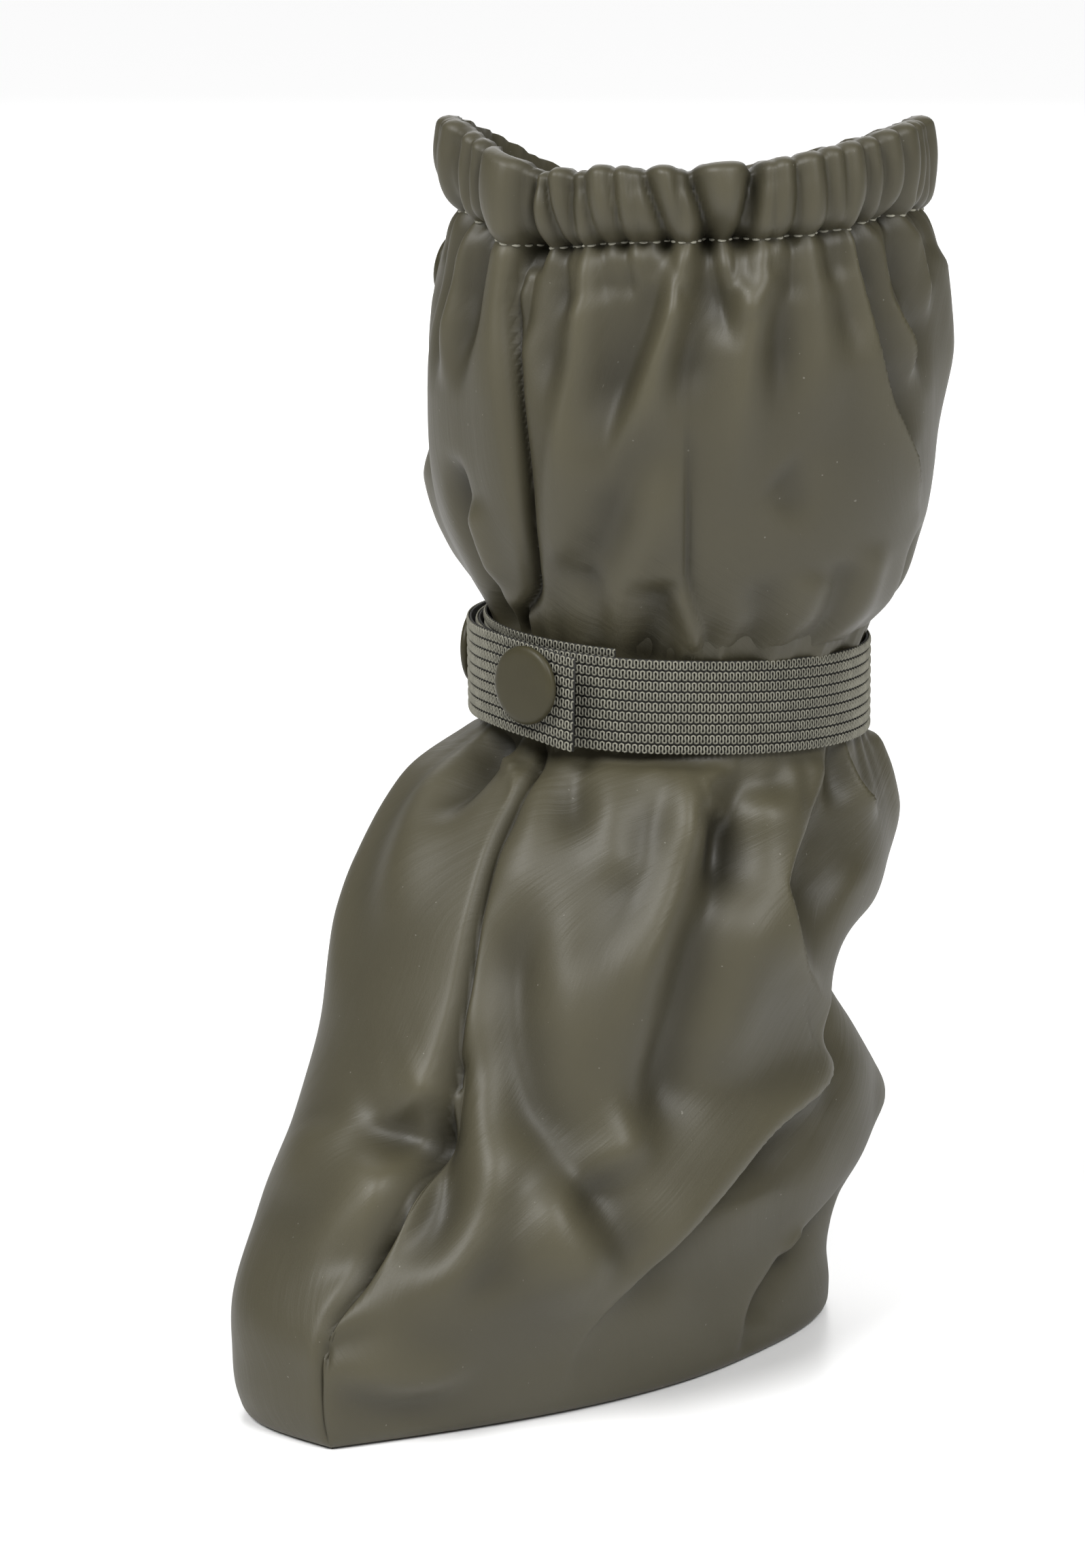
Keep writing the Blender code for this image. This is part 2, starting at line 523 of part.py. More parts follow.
def build_snaps():
    """The two strap caps, the stud behind the front one, and the pairing snap on the inner side."""
    place, frame = band_frame(FRONT_CAP_TURN)
    place += frame.col[1] * CAP_RAISED
    build_turned("snap_cap_front", CAP_PROFILE, place, frame, SNAP_OLIVE, 0.5)
    build_turned("snap_stud_front", STUD_PROFILE, place - frame.col[2] * STUD_DEPTH, frame, SNAP_OLIVE, 0.5)
    place, frame = band_frame(SIDE_CAP_TURN)
    build_turned("snap_cap_side", CAP_PROFILE, place, frame, SNAP_OLIVE, 0.5)
    step = 0.004
    spots = skin_points([PAIR_AROUND] * 3 + [PAIR_AROUND + step], [PAIR_HEIGHT + d for d in (0, step, -step, 0)])
    up = Vector(spots[1] - spots[2]).normalized()
    out = Vector(spots[3] - spots[0]).cross(up).normalized()
    frame = Matrix((up.cross(out), up, out)).transposed()
    build_turned("pair_snap_ring", PAIR_PROFILE, Vector(spots[0]), frame, SNAP_OLIVE, 0.5)
    build_turned("pair_snap_stud", PAIR_STUD_PROFILE, Vector(spots[0]), frame, SNAP_DARK, 0.5)


def build():
    for old in list(bpy.data.objects):
        bpy.data.objects.remove(old)
    build_upper()
    build_sole()
    build_band("ankle_strap", STRAP_RUN, STRAP_THICKNESS, STRAP_HEIGHT)
    build_band("strap_backing", BACKING_RUN, BACKING_THICKNESS, STRAP_HEIGHT + BACKING_RAISED)
    build_snaps()


build()
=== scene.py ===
"""Looks of a child's rain overshoe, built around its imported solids: the gathered cloth bag with its folds,
the collar's stitches, the knitted strap, the press studs, the sole and a plain studio. Lengths are in
metres. +Z is up, the toe points along -Y and the outer side of this left shoe along +X."""

import functools
import math

import bpy
import numpy as np
from bpy.props import FloatProperty, FloatVectorProperty, PointerProperty
from mathutils import Matrix, Vector


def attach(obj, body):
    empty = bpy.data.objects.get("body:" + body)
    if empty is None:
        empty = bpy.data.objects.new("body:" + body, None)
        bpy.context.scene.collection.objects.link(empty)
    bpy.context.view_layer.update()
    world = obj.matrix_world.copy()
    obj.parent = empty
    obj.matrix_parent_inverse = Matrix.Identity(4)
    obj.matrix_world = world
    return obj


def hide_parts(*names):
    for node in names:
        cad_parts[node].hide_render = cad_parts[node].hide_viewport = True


bl_info = {
    "name": "Rain overshoe looks",
    "version": (1, 0, 0),
    "blender": (4, 5, 0),
    "location": "3D View > Sidebar > Overshoe",
    "description": "Dresses the packed solids of a child's rain overshoe in cloth, knit and enamel",
    "category": "Object",
}

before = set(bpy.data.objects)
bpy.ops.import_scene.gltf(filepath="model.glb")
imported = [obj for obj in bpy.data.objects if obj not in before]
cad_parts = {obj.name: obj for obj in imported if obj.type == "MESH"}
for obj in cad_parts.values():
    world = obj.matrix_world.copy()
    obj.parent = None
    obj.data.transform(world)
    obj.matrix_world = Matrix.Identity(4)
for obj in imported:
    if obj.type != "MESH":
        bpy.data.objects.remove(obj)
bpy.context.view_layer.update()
BODY = "root"
# The cloth's place attribute: girth, level, and the mask for its painted shade and highlight
PLACE = "cloth_place"

# Main sizes, as in the solids
SOLE_LENGTH = 0.150
TOE_TO_SHAFT = 0.122
CLOTH = 0.0008
HEM_DEPTH = 0.0034
GAP = 0.0003
BOTTOM_HEIGHT = 0.0005
STITCH_HEIGHT = 0.2368
RIM_HEIGHT = 0.2550
STRAP_HEIGHT = 0.1415
STRAP_WIDTH = 0.0200
STRAP_THICKNESS = 0.0013
BACKING_THICKNESS = 0.0010
SHAFT_Y = TOE_TO_SHAFT - SOLE_LENGTH / 2

# The bag's level sections, as in the solids: reaches and half widths from the shaft's axis
SECTION_COLUMNS = (
    "height", "toe", "heel", "lateral", "medial", "widest", "seam", "bow", "medial_full", "heel_full",
)
SECTIONS = (
    (0.0005, 0.1225, 0.0265, 0.0395, 0.0360, 0.027, 0.0045, 0.95, 4.0, 2.9),
    (0.0060, 0.1240, 0.0268, 0.0405, 0.0375, 0.028, 0.0045, 0.90, 4.0, 2.8),
    (0.0140, 0.1245, 0.0275, 0.0415, 0.0390, 0.031, 0.0045, 0.80, 3.8, 2.6),
    (0.0240, 0.1235, 0.0360, 0.0430, 0.0410, 0.037, 0.0045, 0.58, 3.5, 2.4),
    (0.0370, 0.1150, 0.0470, 0.0485, 0.0440, 0.036, 0.0080, 0.28, 3.3, 2.2),
    (0.0500, 0.1045, 0.0455, 0.0480, 0.0470, 0.028, 0.0105, 0.15, 3.1, 2.2),
    (0.0680, 0.0925, 0.0350, 0.0435, 0.0480, 0.020, 0.0090, 0.00, 3.1, 2.2),
    (0.0860, 0.0830, 0.0400, 0.0460, 0.0480, 0.012, 0.0065, 0.00, 3.0, 2.1),
    (0.1020, 0.0740, 0.0470, 0.0475, 0.0480, 0.006, 0.0035, 0.00, 2.8, 2.0),
    (0.1175, 0.0610, 0.0450, 0.0450, 0.0440, 0.003, 0.0010, 0.00, 2.5, 2.0),
    (0.1305, 0.0450, 0.0400, 0.0405, 0.0360, 0.000, 0.0000, 0.00, 2.0, 2.0),
    (0.1415, 0.0430, 0.0390, 0.0395, 0.0345, 0.000, 0.0000, 0.00, 2.0, 2.0),
    (0.1525, 0.0440, 0.0405, 0.0405, 0.0370, 0.000, 0.0000, 0.00, 2.0, 2.0),
    (0.1610, 0.0470, 0.0482, 0.0478, 0.0428, 0.000, 0.0000, 0.00, 2.0, 2.0),
    (0.1715, 0.0510, 0.0522, 0.0515, 0.0490, 0.000, 0.0000, 0.00, 2.0, 2.0),
    (0.2050, 0.0545, 0.0560, 0.0550, 0.0545, 0.000, 0.0000, 0.00, 2.0, 2.0),
    (0.2368, 0.0515, 0.0535, 0.0525, 0.0510, 0.000, 0.0000, 0.00, 2.0, 2.0),
    (0.2550, 0.0515, 0.0540, 0.0525, 0.0510, 0.000, 0.0000, 0.00, 2.0, 2.0),
)


def column(table, columns, name):
    """One named column of a table, as an array."""
    return np.array([row[columns.index(name)] for row in table])


def ease(low, high, value):
    """A smooth step from 0 at low to 1 at high."""
    t = np.clip((value - low) / (high - low), 0.0, 1.0)
    return t * t * (3 - 2 * t)


def unit(vectors):
    """Vectors scaled to length 1."""
    return vectors / np.linalg.norm(vectors, axis=-1, keepdims=True)


def running(steps):
    """Running sums of the steps, from 0."""
    return np.concatenate(([0.0], np.cumsum(steps)))


def lengths_along(course):
    """The length along a course of points at each of them."""
    return running(np.linalg.norm(np.diff(course, axis=0), axis=1))


def read_at(wanted, lengths, course):
    """Points of a course, or vectors along it, read at the wanted lengths."""
    return np.stack([np.interp(wanted, lengths, course[:, k]) for k in range(3)], axis=-1)


def smooth_through(knots, values, wanted):
    """A smooth curve through the values at the knots, read at the wanted places."""
    slopes = np.gradient(values, knots)
    place = np.clip(np.searchsorted(knots, wanted, side="right") - 1, 0, len(knots) - 2)
    span = knots[place + 1] - knots[place]
    t = np.clip((wanted - knots[place]) / span, 0.0, 1.0)
    start = values[place] * (1 + 2 * t) * (1 - t) ** 2 + slopes[place] * span * t * (1 - t) ** 2
    end = values[place + 1] * t**2 * (3 - 2 * t) - slopes[place + 1] * span * t**2 * (1 - t)
    return start + end


SECTION_KNOTS = {name: column(SECTIONS, SECTION_COLUMNS, name) for name in SECTION_COLUMNS}


def section(height):
    """The level section at one height, by column name."""
    heights = SECTION_KNOTS["height"]
    place = np.array(height)
    return {name: float(smooth_through(heights, SECTION_KNOTS[name], place)) for name in SECTION_COLUMNS[1:]}


ELLIPSE = 2.0
QUARTER_STEPS = 200
QUARTER_TURN = math.pi / 2 * ease(0.0, 1.0, np.linspace(0.0, 1.0, QUARTER_STEPS))


def quarter(seam, width, reach, fullness, bow):
    """A quarter of an outline from the seam to the side, as (sideways, ahead) from the widest place."""
    round_end = np.cos(QUARTER_TURN) ** (2 / fullness)
    round_end[-1] = 0.0
    ahead = reach * ((1 - bow) * round_end + bow * (1 - 2 * QUARTER_TURN / math.pi))
    sideways = seam + (width - seam) * np.sin(QUARTER_TURN) ** (2 / fullness)
    return sideways, ahead


def half_outline(form, side):
    """One side of a level outline from the front seam to the back seam, as (sideways, ahead)."""
    outer = side > 0
    width = form["lateral"] if outer else form["medial"]
    fullness = ELLIPSE if outer else form["medial_full"]
    bow = form["bow"] if outer else 0.0
    front_x, front_y = quarter(form["seam"] * side, width, form["toe"] - form["widest"], fullness, bow)
    back_x, back_y = quarter(0.0, width, form["heel"] + form["widest"], form["heel_full"], 0.0)
    sideways = np.concatenate((front_x, back_x[-2::-1]))
    ahead = form["widest"] + np.concatenate((front_y, -back_y[-2::-1]))
    return sideways, ahead


def outline(height, around):
    """Points of a level outline. Around is 0 at the front seam, 1 or -1 at the back, + on the outer side."""
    form = section(height)
    points = np.zeros((len(around), 2))
    for side in (1.0, -1.0):
        sideways, ahead = half_outline(form, side)
        steps = np.hypot(np.diff(sideways), np.diff(ahead))
        share = running(steps) / steps.sum()
        mine = around * side >= 0
        points[mine, 0] = side * np.interp(np.abs(around[mine]), share, sideways)
        points[mine, 1] = SHAFT_Y - np.interp(np.abs(around[mine]), share, ahead)
    return points


# Slow rises and dips of the levels, as in the solids apart from the collar's second dip, on the inner back.
# Turns are in half turns from the toe, + on the outer side. A dip is (turn, spread, depth).
VIEW_TURN = 0.204
COLLAR_TILT = 0.0065
COLLAR_SADDLE = 0.0033
COLLAR_DIPS = ((-0.020, 0.110, 0.0040), (-0.680, 0.140, 0.0050))
RIM_SADDLE = 0.0018
COLLAR_TILT_FROM = 0.1600
STRAP_TILT = 0.0030
STRAP_TILT_TURN = -0.167
STRAP_TILT_SPREAD = 0.035


def wrapped(around):
    """Places around, brought back to between -1 and 1."""
    return (np.asarray(around) + 1) % 2 - 1


def lift(height, around):
    """How far a level rises at each place around."""
    near = np.cos(math.pi * (around - VIEW_TURN))
    sag = np.cos(2 * math.pi * (around - VIEW_TURN))
    dip = sum(
        depth * np.exp(-((wrapped(around - turn) / spread) ** 2)) for turn, spread, depth in COLLAR_DIPS
    )
    collar = ease(COLLAR_TILT_FROM, STITCH_HEIGHT, height) * (COLLAR_TILT * near - COLLAR_SADDLE * sag - dip)
    rim = -ease(STITCH_HEIGHT, RIM_HEIGHT, height) * RIM_SADDLE * sag
    hold = np.exp(-(((height - STRAP_HEIGHT) / STRAP_TILT_SPREAD) ** 2))
    return collar + rim + hold * STRAP_TILT * np.cos(math.pi * (around - STRAP_TILT_TURN))


def bare_skin(heights, around):
    """The bag's outer form without folds: a grid of points, a row for each height."""
    rows = [np.column_stack((outline(h, around), h + lift(h, around))) for h in heights]
    return np.array(rows)


def skin_points(around, heights):
    """Single points of the bare form at paired places."""
    return np.array([bare_skin([h], np.array([a]))[0, 0] for a, h in zip(wrapped(around), heights)])


def outward(grid):
    """Unit normals of a grid of points that closes on itself along each row."""
    along = np.roll(grid, -1, axis=1) - np.roll(grid, 1, axis=1)
    up = np.gradient(grid, axis=0)
    return unit(np.cross(along, up))


# Folds, listed one by one. Each runs along a path of places (around, height). Places around are in
# thousandths of a half turn here, and all lengths in millimetres. Depth is + for a ridge and - for a trough.
# Left and right are the widths of its flanks, seen from outside with the path running down. Start and end say
# how much of the depth is left at the path's two ends. Sharp is 2 for a round crest and 1 for a crease, and
# lean slides the crest to the right. Where a row leaves these two out, the crest is round and upright.
FOLD_COLUMNS = ("path", "depth", "left", "right", "start", "end", "sharp", "lean")
ROUND_CREST = 2.0
UPRIGHT = 0.0
MILLI = 0.001
FRONT_FOLDS = (
    # Front seam below the strap: the pleat, then the seam with its kink down the toe
    (((-16, 131.5), (-7, 128), (-2.5, 124.5), (-3, 110), (-4, 100), (-6, 90), (-8, 80), (-10, 72)), -3.68,
     0.6, 1.8, 0.8, 1, 1.15, 0.6),
    (((-9, 75), (-12, 70), (-17, 65), (-18, 61), (-16, 55), (-16, 48), (-13, 42), (-9, 35), (-8, 28),
     (-3, 22.5)), -6.9, 0.9, 2.6, 0.3, 0.3, 1.2, 1.6),
    (((-3, 22.5), (-3, 15), (-2, 8), (-2, 0.8)), -2.3, 0.9, 0.9, 0.8, 1, 1.15, 0),
    (((2, 22.5), (7, 19.8), (3, 15.5)), -1.15, 0.6, 0.6, 0, 0, 1.2, 0),
    (((-10, 25), (-9, 20), (-10, 15)), 0.57, 2.07, 1.38, 0, 0),
    (((12, 23), (14, 19), (11, 14.5)), 0.69, 1.38, 2.07, 0, 0),
    # Long face beside the pleat and the ridge that closes it
    (((4, 88), (10, 75), (18, 62), (30, 52), (35, 44), (20, 37.5)), -6.44, 3.91, 9.2, 0.1, 0.3),
    (((12, 88.5), (20, 81), (35, 70), (50, 63), (70, 56), (88, 49), (99, 42), (97, 38), (70, 37.2),
     (30, 36.8)), 2.99, 8.05, 5.75, 0, 0.2),
    # Inner panel: the three-cornered dent beside the seam, the blunt ridge below it and the soft bulge
    (((-10, 71.5), (-50, 66), (-96, 61)), 1.84, 10, 2.2, 0.6, 0.1, 1.25, 0.4),
    (((-16, 61.5), (-50, 61), (-92, 60.6)), -5.17, 6.32, 5.75, 1, 0),
    (((-96, 60), (-60, 55.5), (-32, 51.2), (-26, 48.8), (-30, 45.8), (-40, 41.8), (-50, 36.7), (-53, 32)),
     3.45, 13.8, 3.68, 0.2, 0, 2, 0.4),
    (((-20, 48), (-22, 43), (-30, 38), (-26, 32)), -2.76, 2.76, 3.45, 0.2, 0),
    (((-150, 60), (-130, 42)), 2.3, 12.65, 12.65, 0, 0),
    # Inner panel under the strap
    (((-126, 131.5), (-121, 126), (-114, 120), (-116, 113)), -5.75, 3.68, 4.14, 1, 0),
    (((-100, 126.5), (-60, 126), (-25, 124.2), (-8, 121.5)), 1.61, 1.2, 2, 0.3, 0.3, 1.2, 0),
    (((-150, 128), (-150, 118), (-130, 105), (-110, 92)), 2.3, 6.9, 9.2, 0.3, 0),
)
OUTER_FOLDS = (
    # Pouch beside the seam under the strap
    (((3, 110.7), (45, 109.7), (76, 107.6)), 0.96, 2.99, 8.05, 0.3, 0),
    (((14, 120), (15, 116)), -1.68, 2.99, 2.99, 0, 0),
    (((30, 128), (40, 122), (44, 117), (36, 112.5)), 1.44, 5.75, 2.76, 0.3, 0),
    # Long trough beside the pleat's ridge, then the hanging drape and its blunt end
    (((50, 107), (62, 103), (62, 96.5), (70, 89.4), (82, 83.3), (104, 76.2), (125, 69.2), (150, 64),
     (174, 59), (199, 55), (225, 51)), -5.04, 7.47, 6.32, 0.1, 0),
    (((148, 97), (155, 90), (163, 82), (177, 73), (192, 65), (202, 59)), 1.2, 4.83, 4.14, 0, 0.2),
    (((178, 80), (188, 72), (199, 64), (208, 58.5)), -0.6, 2.99, 3.68, 0, 0.3),
    (((200, 59.5), (212, 56.4), (223, 55.4), (242, 56.6), (266, 60), (285, 66)), 2.64, 2.99, 6.9, 0.3, 0),
    (((195, 54.5), (220, 52.8), (248, 53.6)), -1.92, 4.6, 2.07, 0.2, 0.2),
    (((165, 131), (196, 127.5), (222, 124), (235, 120), (238, 115), (233, 109.5), (223, 102.5), (217, 94.5),
     (215, 84.5), (222, 74), (228, 64)), 4.32, 5.98, 5.98, 0.4, 0.3, 2, 0.3),
    (((196, 124.5), (212, 118), (210, 110), (198, 101), (190, 92)), -3.12, 3.91, 3.45, 0.2, 0),
    # Dark trough behind the drape, with the short fold that closes its top
    (((318, 120), (322, 113), (312, 106), (300, 98), (300, 88), (302, 78), (303, 70), (296, 64),
     (275, 59.5), (250, 56.5)), -4.08, 4.83, 6.9, 0.6, 0),
    (((300, 121), (318, 118), (322, 112), (310, 105)), -4.8, 4.14, 3.68, 0.8, 0),
    (((270, 121.5), (300, 121.8), (335, 120)), 2.4, 1.4, 3.6, 0.3, 0, 1.2, 0),
    (((292, 131), (275, 125), (262, 118), (248, 110)), 2.64, 3.91, 2.99, 0.6, 0),
    (((345, 110), (352, 85), (362, 62)), 3.6, 10.35, 13.8, 0.1, 0),
    # Swag under the strap
    (((64, 130), (94, 126), (119, 122.8), (145, 119), (165, 116)), 1.68, 2.07, 3.45, 0.6, 0.1),
    (((70, 126), (100, 121.5), (130, 117)), -2.16, 4.6, 1.84, 0.3, 0),
    (((131, 118.8), (150, 115.5), (168, 112.8), (185, 113), (196, 116), (203, 121)), 1.68, 2.76, 5.75, 0.1,
     0),
    (((140, 128), (165, 122), (180, 116)), 1.92, 4.6, 4.6, 0.5, 0),
    (((96, 132.5), (100, 129)), -3.12, 2.07, 2.07, 1, 0),
    (((160, 132), (150, 129.5)), -2.4, 1.84, 1.84, 1, 0),
    (((300, 126.8), (340, 125.5), (390, 125), (430, 126.5)), -2.4, 2.53, 2.53, 0.3, 0),
    (((320, 121.5), (380, 121), (440, 122.5)), 1.68, 4.02, 3.45, 0.2, 0),
    # Crisp ridge on the outer side and the flat face behind it
    (((490, 131), (478, 125.4), (450, 119.8), (420, 113.7), (401, 108), (398, 105.6), (407, 101.6),
     (426, 95.5), (450, 91.4), (481, 86.9), (518, 82.8), (561, 78.3), (598, 75.7)), 5.52, 9, 4.5, 0.6, 0.2,
     1.15, 0.8),
    (((540, 125), (500, 115), (478, 107), (500, 98), (545, 92)), -5.04, 9.2, 12.65, 0.3, 0),
    (((567, 130.5), (579, 125), (594, 120.3), (622, 116.8), (660, 113.5)), 3.36, 3, 2.4, 0.8, 0, 1.2, 0),
    (((535, 130.5), (545, 124), (560, 118)), -2.88, 3.91, 3.68, 1, 0),
    # Slouch folds: the notch behind, the long lap down to the forefoot and the fold over the heel
    (((660, 82), (650, 78), (640, 73), (634, 68), (640, 64), (630, 60)), -7.2, 1.61, 9.2, 0.8, 0.3, 2, 1.4),
    (((660, 81), (820, 77), (1000, 73)), -6.72, 7.47, 7.47, 0.6, 0.5),
    (((640, 66), (610, 60.5), (567, 58.5), (524, 57.5), (481, 56), (444, 54), (413, 51), (383, 46.4),
     (352, 42.3), (328, 38.8), (312, 34.7), (303, 30.6), (302, 25.6), (294, 18.5), (285, 11.4)), 5.28, 12,
     2.4, 0.5, 0.1, 1.2, 1.2),
    (((600, 55), (540, 52.5), (480, 50), (435, 46.5), (400, 41), (368, 36), (345, 31), (330, 25),
     (320, 18)), -6, 3.45, 9.2, 0.4, 0),
    (((600, 46), (520, 42), (450, 37), (400, 30), (370, 22)), -3.84, 9.2, 20.7, 0.3, 0),
    (((720, 27), (680, 23.5), (640, 20), (610, 16), (590, 13), (575, 9), (567, 5)), -4.08, 0.9, 7, 0.8, 0.3,
     1.25, 1),
    (((655, 25), (640, 22.5), (632, 19)), 1.44, 1.4, 1, 0.2, 0, 1.2, 0),
    # Forefoot: the wedge above the lap, its flanks, and the toe's puff
    (((144, 55.5), (168, 48.9), (199, 43.8), (229, 38.7), (254, 34.7), (285, 32.2)), 4.08, 10.35, 4.6, 0.3,
     0.3, 2, 0.4),
    (((168, 55), (205, 47.5), (242, 41.3), (275, 36.2), (296, 33)), -3.12, 5.17, 9.2, 0.3, 0.4),
    (((120, 55), (116, 47), (119, 40), (131, 33.7), (150, 28)), -3.6, 3.22, 5.75, 0.4, 0),
    (((10, 18.5), (45, 15.5), (88, 13.5), (125, 14), (144, 16.5), (150, 21.5)), 2.88, 3.68, 9.2, 0, 0.1),
    (((8, 16), (45, 12.5), (90, 10.5), (130, 11), (152, 14.5)), -1.44, 4.6, 2.53, 0.1, 0),
    (((6, 22.5), (30, 24), (55, 26)), -1.44, 2.07, 2.07, 0.6, 0),
)
SHAFT_FOLDS = (
    # Front seam of the shaft: the crease, the roll that hangs over it, and the short pockets beside it
    (((-27, 236.5), (-31, 228), (-26, 222), (-16, 214), (-8, 206), (0, 197), (5, 189), (6, 182), (3, 175),
     (-4, 169), (-16, 163), (-38, 159.5), (-60, 157), (-72, 152)), -4.32, 0.6, 1.6, 0.8, 1, 1.1, 0),
    (((-45, 236), (-52, 226), (-46, 216), (-36, 205), (-25, 194), (-18, 184), (-20, 175), (-30, 167),
     (-50, 161)), 1.76, 8.05, 3.45, 0.5, 0.3, 2, 0.5),
    (((8, 237), (26, 230), (36, 221), (42, 211), (48, 200)), -3.24, 6.21, 5.75, 0.6, 0),
    (((-12, 237), (-14, 231)), -2.16, 2.3, 2.3, 1, 0),
    # Long folds that hang from the stitches, from the seam to the outer side
    (((60, 236), (72, 227), (76, 218), (68, 207), (58, 196), (46, 185), (34, 176)), 2.97, 3.68, 5.29, 0.6,
     0),
    (((108, 236), (112, 226), (108, 216), (96, 205), (85, 195)), -2.97, 4.83, 5.06, 0.7, 0),
    (((174, 234), (166, 224), (150, 214), (134, 205), (120, 196)), -3.78, 6.21, 3.45, 0.5, 0),
    (((212, 236), (202, 228), (190, 220), (172, 213), (157, 207), (140, 199), (126, 190), (112, 182)), 4.05,
     3.22, 6.21, 0.7, 0, 2, -0.3),
    (((238, 237), (230, 228), (216, 219), (206, 210), (200, 200)), -4.05, 3.68, 5.06, 1, 0),
    (((252, 236), (262, 230), (278, 224.5), (288, 221)), 2.43, 2.99, 2.99, 0.7, 0.2),
    (((318, 236), (310, 230), (298, 224), (288, 218), (278, 207), (270, 194), (266, 180)), 2.97, 4.6, 5.06,
     0.6, 0),
    (((334, 236), (332, 226), (324, 214), (316, 200)), -2.7, 5.06, 5.75, 0.7, 0),
    (((362, 236), (370, 224), (374, 210), (376, 194)), 2.16, 6.9, 6.9, 0.6, 0),
    (((405, 236), (415, 224), (428, 210)), -2.7, 4.83, 4.14, 0.7, 0),
    (((431, 237), (436, 228), (449, 217), (461, 209.5), (478, 203), (508, 196), (543, 189), (572, 183.5),
     (595, 178.5)), 4.05, 6.5, 1.8, 0.6, 0.1, 1.2, 0.4),
    (((462, 236), (472, 222), (490, 209), (525, 199), (560, 191)), -4.05, 4.14, 6.9, 0.8, 0),
    (((499, 237), (502, 227), (509, 219), (528, 213.5), (543, 208.5), (546, 202.5)), 3.51, 4.6, 1.6, 0.6, 0,
     1.2, 0.4),
    (((535, 236), (550, 224), (576, 213), (590, 200)), -3.51, 3.91, 5.75, 0.8, 0),
    (((580, 237), (592, 226), (606, 214)), 2.97, 4.6, 2.07, 0.6, 0, 2, 0.3),
    # Slanted trough to the seam, its ridges, and the pulls above the strap
    (((168, 210), (152, 200), (140, 190), (126, 183), (110, 177), (90, 172), (56, 168), (15, 164)), -3.24,
     6.21, 6.21, 0.3, 0.2),
    (((104, 200), (92, 190), (74, 181), (52, 174), (30, 169)), 1.49, 6.21, 5.06, 0, 0),
    (((178, 198), (172, 187), (158, 176), (138, 167), (118, 158), (108, 152)), 2.03, 6.21, 6.21, 0, 0.6),
    (((180, 171), (175, 163), (167, 156), (162, 152)), -3.24, 5.75, 5.75, 0.2, 1),
    (((200, 170), (212, 163), (232, 157), (250, 152)), 2.43, 3.45, 2.76, 0.2, 0.8),
    (((212, 206), (215, 195), (214, 180), (215, 170), (225, 163), (242, 158), (264, 152)), -1.76, 0.8, 2,
     0.1, 1, 1.2, 0),
    (((300, 172), (312, 163), (322, 157), (332, 152)), -1.62, 3.45, 5.75, 0, 1),
    (((80, 172), (92, 162), (98, 152)), -1.35, 2.99, 2.99, 0, 1),
    (((318, 193), (340, 189), (346, 185), (334, 180)), -1.62, 4.83, 4.83, 0, 0),
    (((395, 172), (386, 162), (384, 152)), 1.62, 5.75, 5.75, 0, 1),
    (((440, 174), (430, 163), (425, 152.5)), -1.76, 5.06, 5.06, 0, 1),
    (((500, 176), (484, 164), (476, 153)), 1.76, 5.29, 5.29, 0, 1),
    # Inner panel of the shaft
    (((-100, 236), (-110, 226), (-114, 214), (-108, 202)), -3.78, 4.37, 4.14, 0.8, 0),
    (((-140, 236), (-146, 220), (-146, 202)), 3.24, 5.29, 5.29, 0.7, 0),
    (((-172, 236), (-180, 220), (-182, 200)), -3.51, 5.29, 5.29, 0.8, 0),
    (((-128, 192), (-124, 181), (-114, 170), (-116, 161), (-130, 153)), -5.67, 4.37, 3.68, 0, 1),
    (((-90, 184), (-80, 172), (-76, 162)), 2.7, 4.83, 4.6, 0, 0.3),
)
